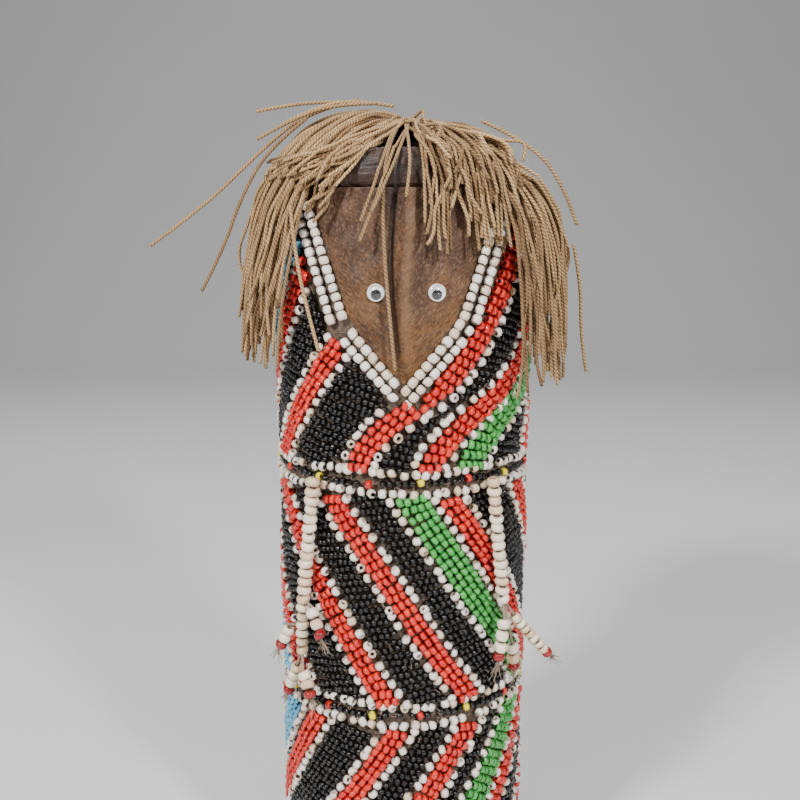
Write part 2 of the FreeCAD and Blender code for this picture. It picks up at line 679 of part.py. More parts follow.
def cord(label, points):
    """A round cord along a route: straight runs joined by arcs as large as the runs allow."""
    points = [V(*point) for point in points]
    radius = size("cordRadius")
    edges, here = [], points[0]
    bends = []
    for before, at, after in zip(points, points[1:], points[2:]):
        back, on = (before - at).normalize(), (after - at).normalize()
        half_turn = (math.pi - back.getAngle(on)) / 2
        reach = BEND_SHARE * min((before - at).Length, (after - at).Length)
        bends.append(reach / math.tan(half_turn))
        start, end = at + back * reach, at + on * reach
        inward = (back + on).normalize()
        middle = at + inward * (bends[-1] / math.cos(half_turn) - bends[-1])
        edges.append(Part.LineSegment(here, start).toShape())
        edges.append(Part.Arc(start, middle, end).toShape())
        here = end
    edges.append(Part.LineSegment(here, points[-1]).toShape())
    path = Part.Wire(edges)
    ring = Part.Wire([Part.Circle(points[0], points[1] - points[0], radius).toShape()])
    tube = path.makePipeShell([ring], True, False)
    expected = math.pi * radius**2 * path.Length
    print("%s: length %.1f, smallest bend %.1f, volume %.4f of section times length" % (
        label, path.Length, min(bends), tube.Volume / expected))
    return feature(label, [tube])


# ---------------------------------------------------------------- assembly


def build():
    core, cap = make_core(), make_cap()
    made = [core, make_sole(), make_sleeve(), make_face(), cap, make_brow(cap)]
    for word, angle in EYE_ANGLES.items():
        made += make_eye(word, angle)
    made += make_edging()
    for name, base in (("shoulder_band", "shoulderHeight"), ("hip_band", "hipHeight"), ("hem_band", "hemHeight")):
        made += make_band(name, base)
    made += make_panels()
    made += make_arm("left", -1)
    made += make_arm("right", 1)
    made += make_hair()
    made += [cord(label, points) for label, points in STRAYS.items()]
    doc.recompute()
    return made


def check_and_write(made):
    failed = [item.Label for item in doc.Objects if {"Invalid", "Error"} & set(item.State)]
    for item in made:
        if item.Shape.isNull() or not item.Shape.isValid() or not item.Shape.Solids:
            failed.append(item.Label)
    if failed:
        raise RuntimeError("these failed: " + ", ".join(failed))
    os.makedirs("parts", exist_ok=True)
    for old in os.listdir("parts"):
        os.remove(os.path.join("parts", old))
    for item in made:
        item.Shape.exportStep("parts/%s.step" % item.Label)
    print("wrote %d nodes" % len(made))


check_and_write(build())
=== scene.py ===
import json
import math

import bpy
import numpy as np
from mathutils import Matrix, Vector


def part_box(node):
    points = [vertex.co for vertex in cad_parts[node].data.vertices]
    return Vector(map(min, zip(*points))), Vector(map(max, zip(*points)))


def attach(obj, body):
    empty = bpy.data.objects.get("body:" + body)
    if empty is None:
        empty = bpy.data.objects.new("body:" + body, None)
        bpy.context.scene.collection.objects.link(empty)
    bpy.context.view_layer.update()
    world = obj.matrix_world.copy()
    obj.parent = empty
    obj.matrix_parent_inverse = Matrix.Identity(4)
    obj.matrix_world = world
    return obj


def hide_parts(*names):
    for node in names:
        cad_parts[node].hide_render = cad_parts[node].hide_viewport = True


# A beaded doll. The frame gives the places and this script gives the looks. Lengths in the dictionaries
# are in millimetres unless a note says metres, and an angle round the body is counted in degrees from the
# front towards +X.
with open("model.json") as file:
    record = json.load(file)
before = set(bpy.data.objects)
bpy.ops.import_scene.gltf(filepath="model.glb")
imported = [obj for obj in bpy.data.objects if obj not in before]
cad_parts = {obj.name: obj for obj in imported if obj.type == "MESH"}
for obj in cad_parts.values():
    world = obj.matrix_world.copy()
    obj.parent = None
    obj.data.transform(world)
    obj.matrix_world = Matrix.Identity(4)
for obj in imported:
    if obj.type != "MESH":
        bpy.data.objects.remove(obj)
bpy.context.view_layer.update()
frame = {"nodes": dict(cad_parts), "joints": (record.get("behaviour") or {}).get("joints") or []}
mm = 0.001
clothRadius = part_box("cloth_sleeve")[1].x / mm
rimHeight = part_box("cloth_sleeve")[1].z / mm
print("frame loaded with", len(frame["nodes"]), "nodes")


# camera, lamps and floor

cameraSet = {    # metres and degrees, and the lens in millimetres
    "place": (-0.001, -0.330, 0.240), "pitch": 11.0, "lens": 45.0, "sensor": 36.0,
}


def addCamera():
    data = bpy.data.cameras.new("camera")
    data.lens = cameraSet["lens"]
    data.sensor_width = cameraSet["sensor"]
    data.clip_start = 0.01
    thing = bpy.data.objects.new("camera", data)
    thing.location = cameraSet["place"]
    thing.rotation_euler = (math.radians(90 - cameraSet["pitch"]), 0, 0)
    bpy.context.scene.collection.objects.link(thing)
    bpy.context.scene.camera = thing


lamps = {    # places and sizes in metres, power in watts
    "left": {"place": (-0.62, -0.78, 0.86), "size": 0.17, "power": 19.5},
    "right": {"place": (0.58, -0.86, 0.72), "size": 0.14, "power": 13.5},
    "above": {"place": (0.05, 0.35, 1.25), "size": 0.70, "power": 11.0},
}


def addLamps():
    middle = Vector((0, 0, 0.15))
    for name, lamp in lamps.items():
        data = bpy.data.lights.new("lamp_" + name, "AREA")
        data.size = lamp["size"]
        data.energy = lamp["power"]
        thing = bpy.data.objects.new("lamp_" + name, data)
        thing.location = lamp["place"]
        thing.rotation_euler = (middle - Vector(lamp["place"])).to_track_quat("-Z", "Y").to_euler()
        bpy.context.scene.collection.objects.link(thing)
    world = bpy.data.worlds.new("studio")
    world.use_nodes = True
    world.node_tree.nodes["Background"].inputs["Color"].default_value = (0.78, 0.80, 0.84, 1)
    world.node_tree.nodes["Background"].inputs["Strength"].default_value = 0.15
    bpy.context.scene.world = world


addCamera()
addLamps()
print("camera and lamps ready")


# shader sums


class Tone:
    # one output of a node, so that sums written on it add their Math nodes

    def __init__(self, tree, socket=None):
        self.tree = tree
        self.socket = socket

    def node(self, kind, settings=None, values=None, output=0):
        # any node: its settings first, then the values or links of its sockets
        made = self.tree.nodes.new(kind)
        for name, value in (settings or {}).items():
            if name == "stops":
                setStops(made.color_ramp, value)
            else:
                setattr(made, name, value)
        for name, value in (values or {}).items():
            if isinstance(value, Tone):
                self.tree.links.new(value.socket, made.inputs[name])
            else:
                made.inputs[name].default_value = value
        return Tone(self.tree, made.outputs[output])

    def maths(self, operation, first, second=0.0):
        return self.node("ShaderNodeMath", {"operation": operation}, {0: first, 1: second})

    def sine(self):
        return self.maths("SINE", self)

    def __add__(self, other):
        return self.maths("ADD", self, other)

    def __radd__(self, other):
        return self.maths("ADD", other, self)

    def __sub__(self, other):
        return self.maths("SUBTRACT", self, other)

    def __rsub__(self, other):
        return self.maths("SUBTRACT", other, self)

    def __mul__(self, other):
        return self.maths("MULTIPLY", self, other)

    def __rmul__(self, other):
        return self.maths("MULTIPLY", other, self)


def setStops(ramp, stops):
    # a ramp's stops as pairs of a place and a grey value
    while len(ramp.elements) < len(stops):
        ramp.elements.new(0.5)
    for element, (place, grey) in zip(ramp.elements, stops):
        element.position = place
        element.color = (grey, grey, grey, 1)


def mixColours(factor, first, second):
    # the first colour where factor is 0, and the second where it is 1
    first = first if isinstance(first, Tone) else (*first, 1)
    second = second if isinstance(second, Tone) else (*second, 1)
    return factor.node(
        "ShaderNodeMix", {"data_type": "RGBA"}, {"Factor": factor, 6: first, 7: second}, output=2
    )


def speckle(tone, scale, detail=2.0, stretch=(1, 1, 1)):
    # cloudy noise on the object's own coordinates, scale in lumps per metre
    spot = tone.node("ShaderNodeTexCoord", output=3)
    spread = tone.node("ShaderNodeMapping", None, {"Vector": spot, "Scale": stretch})
    return tone.node("ShaderNodeTexNoise", None, {"Vector": spread, "Scale": scale, "Detail": detail})


def clamped(tone, low, high):
    # 0 below low, 1 above high and straight in between
    values = {"Value": tone, "From Min": low, "From Max": high}
    return tone.node("ShaderNodeMapRange", {"clamp": True}, values)


def ownNumber(tone, name):
    # a number that the mesh stores at each of its points
    return tone.node("ShaderNodeAttribute", {"attribute_name": name}, output=2)


def newMaterial(name, fixed):
    # a plain shader whose fixed sockets are the same all over, and a tone to start its sums from
    material = bpy.data.materials.new(name)
    material.use_nodes = True
    shader = material.node_tree.nodes["Principled BSDF"]
    for socket, value in fixed.items():
        shader.inputs[socket].default_value = value
    return material, Tone(material.node_tree), shader


def feed(shader, **tones):
    # link tones to the shader's colour and roughness
    sockets = {"colour": "Base Color", "rough": "Roughness"}
    for name, tone in tones.items():
        tone.tree.links.new(tone.socket, shader.inputs[sockets[name]])


def addBump(shader, height, strength, distance):
    # height is a tone from 0 to 1, and distance is how far 1 stands out, in metres
    bump = height.node("ShaderNodeBump", None, {"Height": height, "Strength": strength, "Distance": distance})
    bump.tree.links.new(bump.socket, shader.inputs["Normal"])


# finishes

glassLooks = {    # two tones that the beads of one colour run between, and the gloss
    "redGlass": {"first": (0.50, 0.008, 0.006), "second": (0.68, 0.028, 0.014), "rough": 0.24, "dust": 0.10},
    "blackGlass": {
        "first": (0.0008, 0.0008, 0.001), "second": (0.003, 0.0025, 0.003), "rough": 0.13, "dust": 0.01,
    },
    "greenGlass": {
        "first": (0.030, 0.25, 0.040), "second": (0.070, 0.37, 0.065), "rough": 0.26, "dust": 0.10,
    },
    "blueGlass": {"first": (0.06, 0.30, 0.50), "second": (0.16, 0.46, 0.66), "rough": 0.26, "dust": 0.10},
    "yellowGlass": {"first": (0.74, 0.56, 0.006), "second": (0.84, 0.70, 0.02), "rough": 0.26, "dust": 0.10},
    "tipGlass": {"first": (0.21, 0.006, 0.007), "second": (0.33, 0.022, 0.020), "rough": 0.18, "dust": 0.06},
}


def glassFinish(name, look):
    # coloured glass: each bead has its own tone, and dust in soft spots dulls the gloss
    material, tone, shader = newMaterial(name, {
        "Specular IOR Level": 0.40, "Coat Weight": 0.35, "Coat Roughness": 0.07,
    })
    dust = clamped(speckle(tone, 620.0, 3.0), 0.52, 0.74)
    colour = mixColours(ownNumber(tone, "tint"), look["first"], look["second"])
    greyed = mixColours(dust * look["dust"], colour, (0.30, 0.22, 0.16))
    # painted shade: each bead is darkened towards its hole, for the shade in the hole and the brown thread
    # inside it
    holeDarkened = mixColours(ownNumber(tone, "grime") * 0.55, greyed, (0.035, 0.018, 0.010))
    feed(shader, colour=holeDarkened, rough=look["rough"] + dust * 0.12)
    addBump(shader, speckle(tone, 900.0), 0.06, 0.0002)
    return material


def chalkFinish(name, clean, stained, amount, rough):
    # opaque white or cream beads: some are stained all over, others in patches, with fine brown pits
    material, tone, shader = newMaterial(name, {"Specular IOR Level": 0.5, "Subsurface Scale": 0.001})
    whole = clamped(ownNumber(tone, "tint"), 1 - amount, 1.0)
    patches = clamped(speckle(tone, 330.0, 3.0), 0.50, 0.72)
    pits = clamped(speckle(tone, 1500.0, 2.0), 0.66, 0.74)
    colour = mixColours(whole * 0.75 + patches * 0.40, clean, stained)
    pitted = mixColours(pits * 0.45, colour, (0.30, 0.17, 0.09))
    # painted shade: each bead is darkened towards its hole, for the shade in the hole and the brown thread
    # inside it
    holeDarkened = mixColours(ownNumber(tone, "grime") * 0.70, pitted, (0.16, 0.085, 0.045))
    feed(shader, colour=holeDarkened, rough=rough + patches * 0.18)
    addBump(shader, speckle(tone, 1100.0, 3.0) - pits * 0.6, 0.25, 0.0002)
    return material


twineTwist = 2.4    # one full twist of the two plies, in millimetres


def twineFinish():
    # two-ply plant fibre: a tone of its own for each strand and fine hairs along the ply. The plies are the
    # sine of twice the turn round the strand plus twice the distance along it over one full twist
    material, tone, shader = newMaterial("twine", {"Sheen Weight": 0.04, "Specular IOR Level": 0.3})
    spot = tone.node("ShaderNodeUVMap", {"uv_map": "ply"})
    hairs = tone.node("ShaderNodeTexNoise", None, {
        "Vector": tone.node("ShaderNodeMapping", None, {"Vector": spot, "Scale": (9.0, 0.8, 1.0)}),
        "Scale": 1.0, "Detail": 3.0,
    })
    cloudy = speckle(tone, 160.0)
    own = ownNumber(tone, "tint")
    colour = mixColours(clamped(own + cloudy * 0.5, 0.15, 1.35), (0.15, 0.074, 0.028), (0.76, 0.49, 0.235))
    turn = tone.node("ShaderNodeSeparateXYZ", None, {"Vector": spot}, output=0)
    along = tone.node("ShaderNodeSeparateXYZ", None, {"Vector": spot}, output=1)
    wave = ((turn * 2 + along * (2 / twineTwist)) * (2 * math.pi)).sine()
    ply = wave * 0.5 + 0.5
    # painted shade: the grooves between the plies are darkened; the fine hairs add dark flecks of their own
    shaded = mixColours((1 - ply) * 0.62 + clamped(hairs, 0.5, 0.7) * 0.22, colour, (0.060, 0.028, 0.012))
    feed(shader, colour=shaded, rough=0.72 + hairs * 0.2)
    addBump(shader, ply + hairs * 0.3, 0.9, 0.00022)
    return material


def clothFinish(name, dark, pale):
    # brown cotton with a fine level weave under fluff in clouds
    material, tone, shader = newMaterial(name, {"Sheen Weight": 0.1, "Specular IOR Level": 0.2})
    across = tone.node("ShaderNodeTexWave", {"wave_type": "BANDS", "bands_direction": "Z"}, {
        "Vector": tone.node("ShaderNodeTexCoord", output=3), "Scale": 560.0, "Distortion": 7.0, "Detail": 3.0,
    })
    fluff = speckle(tone, 1100.0, 6.0)
    weave = across * 0.16 + fluff
    clouds = speckle(tone, 130.0, 3.0)
    colour = mixColours(clamped(weave * 0.7 + clouds * 0.5, 0.35, 1.05), dark, pale)
    feed(shader, colour=colour, rough=0.86 + fluff * 0.1)
    addBump(shader, weave, 0.9, 0.0005)
    return material


def faceFinish():
    # tanned hide: purple-brown above and orange-brown below and round the eyes, with a fine grain that
    # slants down and outwards on both sides, since it reads the distance from the middle
    material, tone, shader = newMaterial("faceHide", {"Specular IOR Level": 0.35})
    spot = tone.node("ShaderNodeTexCoord", output=3)
    parts = tone.node("ShaderNodeSeparateXYZ", None, {"Vector": spot}, output=2)
    lower = 1 - clamped(parts + speckle(tone, 60.0, 3.0) * 0.030, 0.205, 0.262)
    clouds = clamped(speckle(tone, 95.0, 4.0), 0.38, 0.66)
    streaks = speckle(tone, 420.0, 4.0, stretch=(1.0, 1.0, 0.16))
    mirrored = tone.node("ShaderNodeVectorMath", {"operation": "ABSOLUTE"}, {0: spot})
    lean = (0.0, math.radians(38), 0.0)
    turned = tone.node("ShaderNodeMapping", None, {"Vector": mirrored, "Rotation": lean})
    slanted = tone.node("ShaderNodeTexNoise", None, {
        "Vector": tone.node("ShaderNodeMapping", None, {"Vector": turned, "Scale": (0.20, 0.5, 1.0)}),
        "Scale": 2300.0, "Detail": 3.0,
    })
    purple = mixColours(clouds, (0.034, 0.0155, 0.0105), (0.078, 0.036, 0.021))
    orange = mixColours(clouds, (0.092, 0.038, 0.010), (0.205, 0.088, 0.020))
    base = mixColours(lower * 0.75 + clamped(streaks, 0.45, 0.75) * 0.25, purple, orange)
    fine = speckle(tone, 1700.0, 4.0, stretch=(1.0, 1.0, 0.6))
    pale = mixColours(clamped(fine, 0.50, 0.68) * 0.42, base, (0.27, 0.150, 0.078))
    lined = mixColours(clamped(slanted, 0.50, 0.62) * 0.62, pale, (0.020, 0.0095, 0.007))
    # painted highlight: a paler strip along the right of the nose ridge, where light catches it
    ridgeHighlighted = mixColours(ownNumber(tone, "crest") * 0.45, lined, (0.210, 0.112, 0.052))
    # painted shade: near black along the groove at the left of the nose and in a wider band round it, where
    # the fold lies in shade
    creaseShaded = mixColours(ownNumber(tone, "crease"), ridgeHighlighted, (0.008, 0.004, 0.003))
    feed(shader, colour=creaseShaded, rough=0.40 + slanted * 0.24)
    addBump(shader, slanted * 0.6 + fine * 0.7 + streaks * 0.4, 0.8, 0.0004)
    return material


def hideFinish(name, dark, pale, rough, crack):
    # dark dressed hide: cloudy brown, with level wrinkles that are paler where they are worn
    material, tone, shader = newMaterial(name, {"Specular IOR Level": 0.40})
    wrinkles = speckle(tone, 420.0, 5.0, stretch=(0.45, 0.45, 1.7))
    cracks = clamped(wrinkles, 0.56, 0.66)
    clouds = speckle(tone, 180.0, 4.0)
    colour = mixColours(clamped(clouds, 0.35, 0.68), dark, pale)
    split = mixColours(cracks * crack, colour, (0.10, 0.065, 0.045))
    feed(shader, colour=split, rough=rough + clouds * 0.25)
    addBump(shader, clouds * 0.5 + wrinkles, 0.8, 0.0009)
    return material


def woodFinish():
    # pale soft wood with rings of darker grain
    material, tone, shader = newMaterial("coreWood", {"Specular IOR Level": 0.3})
    rings = tone.node("ShaderNodeTexWave", {"wave_type": "RINGS", "rings_direction": "Z"}, {
        "Vector": tone.node("ShaderNodeTexCoord", output=3), "Scale": 90.0, "Distortion": 4.0, "Detail": 3.0,
    })
    colour = mixColours(rings, (0.30, 0.17, 0.08), (0.46, 0.29, 0.15))
    feed(shader, colour=colour, rough=0.6 + rings * 0.15)
    return material


def eyeFinish(name, first, second, rough):
    # moulded plastic with faint wear
    material, tone, shader = newMaterial(name, {"Specular IOR Level": 0.6})
    wear = speckle(tone, 700.0, 3.0)
    feed(shader, colour=mixColours(clamped(wear, 0.45, 0.75), first, second), rough=rough + wear * 0.08)
    return material


def clearFinish():
    # clear plastic: mostly see-through, with a small share of mirror that grows a little where dust lies
    material, tone, shader = newMaterial("clearDome", {"Metallic": 1.0})
    dust = clamped(speckle(tone, 800.0, 3.0), 0.55, 0.8)
    feed(shader, colour=mixColours(dust, (1.0, 1.0, 1.0), (0.8, 0.8, 0.78)), rough=0.05 + dust * 0.05)
    tree = material.node_tree
    through = tree.nodes.new("ShaderNodeBsdfTransparent")
    both = tree.nodes.new("ShaderNodeMixShader")
    share = 0.045 + dust * 0.02
    tree.links.new(share.socket, both.inputs[0])
    tree.links.new(through.outputs[0], both.inputs[1])
    tree.links.new(shader.outputs[0], both.inputs[2])
    tree.links.new(both.outputs[0], tree.nodes["Material Output"].inputs["Surface"])
    return material


def floorFinish():
    # plain pale paper
    material, tone, shader = newMaterial("floorPaper", {"Specular IOR Level": 0.1})
    cloud = speckle(tone, 3.0)
    feed(shader, colour=mixColours(cloud, (0.60, 0.60, 0.595), (0.63, 0.63, 0.625)), rough=0.9 + cloud * 0.05)
    return material


finish = {name: glassFinish(name, look) for name, look in glassLooks.items()}
finish["whiteChalk"] = chalkFinish("whiteChalk", (0.80, 0.73, 0.66), (0.60, 0.43, 0.27), 0.50, 0.34)
finish["creamChalk"] = chalkFinish("creamChalk", (0.88, 0.76, 0.60), (0.62, 0.40, 0.21), 0.60, 0.36)
finish["twine"] = twineFinish()
finish["cloth"] = clothFinish("sleeveCloth", (0.020, 0.013, 0.009), (0.20, 0.145, 0.102))
finish["fluff"] = clothFinish("threadFluff", (0.16, 0.11, 0.075), (0.46, 0.36, 0.27))
finish["face"] = faceFinish()
finish["brow"] = hideFinish("browHide", (0.013, 0.0065, 0.004), (0.055, 0.027, 0.016), 0.38, 0.22)
finish["cap"] = hideFinish("capHide", (0.020, 0.010, 0.007), (0.055, 0.028, 0.018), 0.50, 0.15)
finish["sole"] = hideFinish("soleHide", (0.10, 0.055, 0.030), (0.20, 0.115, 0.065), 0.60, 0.20)
finish["wood"] = woodFinish()
finish["eyeWhite"] = eyeFinish("eyeWhite", (0.86, 0.86, 0.84), (0.76, 0.74, 0.70), 0.30)
finish["eyeBlack"] = eyeFinish("eyeBlack", (0.006, 0.006, 0.007), (0.018, 0.017, 0.017), 0.22)
finish["clear"] = clearFinish()
finish["floor"] = floorFinish()
print("finishes ready:", len(finish))


# meshes from arrays


def meshPiece(name, points, faceSets, materials, numbers=None, which=None, uv=None):
    # points is n x 3 in metres. faceSets holds arrays of quads or triangles, numbers the stored number of
    # each point by name, which each face's material and uv a name and one pair for each corner
    mesh = bpy.data.meshes.new(name)
    mesh.vertices.add(len(points))
    mesh.vertices.foreach_set("co", np.ascontiguousarray(points, np.float32).ravel())
    corners = np.concatenate([faces.ravel() for faces in faceSets]).astype(np.int32)
    sides = np.concatenate([np.full(len(faces), faces.shape[1]) for faces in faceSets])
    mesh.loops.add(len(corners))
    mesh.loops.foreach_set("vertex_index", corners)
    mesh.polygons.add(len(sides))
    mesh.polygons.foreach_set("loop_start", (np.cumsum(sides) - sides).astype(np.int32))
    mesh.polygons.foreach_set("use_smooth", np.ones(len(sides), bool))
    if which is not None:
        mesh.polygons.foreach_set("material_index", which.astype(np.int32))
    for label, values in (numbers or {}).items():
        stored = mesh.attributes.new(label, "FLOAT", "POINT")
        stored.data.foreach_set("value", values.astype(np.float32).ravel())
    if uv is not None:
        mesh.uv_layers.new(name=uv[0]).data.foreach_set("uv", uv[1].astype(np.float32).ravel())
    mesh.update(calc_edges=True)
    for material in materials:
        mesh.materials.append(finish[material])
    thing = bpy.data.objects.new(name, mesh)
    bpy.context.scene.collection.objects.link(thing)
    return thing


def gridFaces(rows, columns, closed):
    # quads between neighbouring points of a grid that is stored row by row, closed round its columns or not
    wide = columns if closed else columns - 1
    row, column = np.meshgrid(np.arange(rows - 1), np.arange(wide), indexing="ij")
    after = (column + 1) % columns
    here, above = row * columns, (row + 1) * columns
    return np.stack([here + column, here + after, above + after, above + column], -1).reshape(-1, 4)


def unit(vectors):
    return vectors / np.maximum(np.linalg.norm(vectors, axis=-1, keepdims=True), 1e-12)


def around(radius, angle, height):
    # points at an angle round the body, in millimetres
    turn = np.radians(angle)
    return np.stack(np.broadcast_arrays(radius * np.sin(turn), -radius * np.cos(turn), height), -1)


def settle(piece, body, slot, *nodes):
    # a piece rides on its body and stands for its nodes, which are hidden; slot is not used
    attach(piece, body)
    if nodes:
        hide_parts(*nodes)
    return piece


# floor: flat, then curved up behind, so that no edge shows

floorSet = {"half": 2.6, "front": -2.2, "bend": 1.1, "radius": 0.7, "top": 2.6}    # metres


def addFloor():
    bend = np.radians(np.linspace(0, 90, 16))
    depth = np.concatenate([[floorSet["front"]], floorSet["bend"] + floorSet["radius"] * np.sin(bend)])
    height = np.concatenate([[0], floorSet["radius"] * (1 - np.cos(bend))])
    depth = np.append(depth, depth[-1])
    height = np.append(height, floorSet["top"])
    across = np.array([-floorSet["half"], floorSet["half"]])
    points = np.stack([
        np.tile(across, len(depth)), np.repeat(depth, 2), np.repeat(height, 2),
    ], -1)
    meshPiece("floor", points, [gridFaces(len(depth), 2, False)], ["floor"])


addFloor()
print("floor ready")


# twine: a round outline carried along paths

twine = {"radius": 0.5, "step": 0.75, "sides": 6}


def twineMesh(name, paths, tints, radius, sides=twine["sides"], material="twine"):
    # paths is strands x rings x 3 in millimetres. Point k of a ring stands at k / sides of a turn about the
    # path, and each end is closed by a fan
    strands, rings, _ = paths.shape
    along = unit(np.gradient(paths, axis=1))
    flat = np.linalg.svd(paths - paths.mean(axis=1, keepdims=True), full_matrices=False)[2][:, 2]
    side = unit(np.cross(flat[:, None], along))
    third = np.cross(along, side)
    gaps = np.linalg.norm(np.diff(paths, axis=1), axis=2)
    distance = np.concatenate([np.zeros((strands, 1)), np.cumsum(gaps, axis=1)], axis=1)
    corner = 2 * np.pi * np.arange(sides) / sides
    walls = paths[:, :, None] + radius * (
        np.cos(corner)[:, None] * side[:, :, None] + np.sin(corner)[:, None] * third[:, :, None]
    )
    points = np.concatenate([walls.reshape(strands, -1, 3), paths[:, [0, -1]]], axis=1)
    quads = gridFaces(rings, sides, True)
    number = np.arange(sides)
    after = (number + 1) % sides
    last = (rings - 1) * sides
    fans = np.concatenate([
        np.stack([np.full(sides, rings * sides), after, number], -1),
        np.stack([np.full(sides, rings * sides + 1), last + number, last + after], -1),
    ])
    shift = (np.arange(strands) * points.shape[1])[:, None, None]
    ring, place = np.divmod(np.arange(len(quads)), sides)
    across = np.stack([place, place + 1, place + 1, place], -1) / sides
    near, far = distance[:, ring], distance[:, ring + 1]
    lengthwise = np.stack([near, near, far, far], -1)
    wallUv = np.stack([np.broadcast_to(across, lengthwise.shape), lengthwise], -1).reshape(-1, 2)
    allUv = np.concatenate([wallUv, np.zeros((strands * len(fans) * 3, 2))])
    return meshPiece(
        name, points.reshape(-1, 3) * mm, [(quads + shift).reshape(-1, 4), (fans + shift).reshape(-1, 3)],
        [material], {"tint": np.repeat(tints, points.shape[1])}, None, ("ply", allUv),
    )


# the single cords that stray from the mop: lengths and routes in metres

strayCords = {
    "long": {"length": 0.0842, "tint": 0.55, "route": [
        (-0.014, -0.006, 0.2724), (-0.030, -0.0055, 0.269), (-0.046, -0.003, 0.2565), (-0.064, 0.0, 0.240),
        (-0.083, 0.0015, 0.227),
    ]},
    "curl": {"length": 0.0664, "tint": 0.25, "route": [
        (-0.029, -0.019, 0.2658), (-0.041, -0.018, 0.257), (-0.0505, -0.014, 0.242), (-0.057, -0.009, 0.2265),
        (-0.065, -0.006, 0.213),
    ]},
    "top": {"length": 0.0405, "tint": 0.6, "route": [
        (-0.007, 0.0015, 0.272), (-0.021, 0.0035, 0.2728), (-0.035, 0.002, 0.272), (-0.047, 0.001, 0.2695),
    ]},
    "high": {"length": 0.0367, "tint": 0.7, "route": [
        (-0.003, -0.006, 0.2705), (-0.013, -0.0085, 0.2719), (-0.026, -0.0095, 0.2706),
        (-0.038, -0.009, 0.2646),
    ]},
    "side": {"length": 0.0392, "tint": 0.45, "route": [
        (-0.008, -0.013, 0.2706), (-0.019, -0.0145, 0.2704), (-0.032, -0.014, 0.267), (-0.045, -0.013, 0.260),
    ]},
    "right": {"length": 0.0466, "tint": 0.6, "route": [
        (0.024, -0.013, 0.2655), (0.039, -0.014, 0.2588), (0.0495, -0.013, 0.247), (0.055, -0.009, 0.234),
    ]},
    "outer": {"length": 0.0417, "tint": 0.8, "route": [
        (0.0535, -0.013, 0.228), (0.0565, -0.012, 0.2145), (0.057, -0.010, 0.200), (0.0595, -0.009, 0.187),
    ]},
    "face": {"length": 0.0764, "tint": 0.35, "route": [
        (-0.002, -0.028, 0.262), (-0.004, -0.0386, 0.2576), (-0.006, -0.042, 0.247),
        (-0.0057, -0.0414, 0.230), (-0.0044, -0.0416, 0.212), (-0.0024, -0.0434, 0.193),
    ]},
    "cheek": {"length": 0.0433, "tint": 0.75, "route": [
        (-0.033, -0.0335, 0.240), (-0.032, -0.033, 0.227), (-0.029, -0.035, 0.212), (-0.025, -0.038, 0.198),
    ]},
}
strayDiameter = 1.1


def smoothLine(name, points):
    # the line of a smooth spline that has the route's points as its controls, in metres
    curve = bpy.data.curves.new(name, "CURVE")
    curve.dimensions = "3D"
    curve.resolution_u = 24
    spline = curve.splines.new("NURBS")
    spline.points.add(len(points) - 1)
    spline.points.foreach_set("co", [value for point in points for value in (*point, 1.0)])
    spline.order_u = 3
    spline.use_endpoint_u = True
    holder = bpy.data.objects.new(name, curve)
    line = bpy.data.meshes.new_from_object(holder)
    found = np.array([vertex.co for vertex in line.vertices])
    bpy.data.objects.remove(holder)
    bpy.data.meshes.remove(line)
    bpy.data.curves.remove(curve)
    return found


def evenly(line, step):
    # points at equal steps along a line
    gaps = np.linalg.norm(np.diff(line, axis=0), axis=1)
    distance = np.concatenate([[0], np.cumsum(gaps)])
    spots = np.linspace(0, distance[-1], max(int(distance[-1] / step), 2) + 1)
    return np.stack([np.interp(spots, distance, line[:, axis]) for axis in range(3)], -1)


def addStrays():
    for name, cord in strayCords.items():
        path = evenly(smoothLine("line_" + name, cord["route"]) / mm, twine["step"])
        piece = twineMesh("stray_cord_" + name, path[None], np.array([cord["tint"]]), strayDiameter / 2)
        settle(piece, "doll", "twine", "stray_" + name)


addStrays()
print("stray cords ready:", len(strayCords))


# the mop: strands between an inner and an outer outline of (radius, height), root to tip

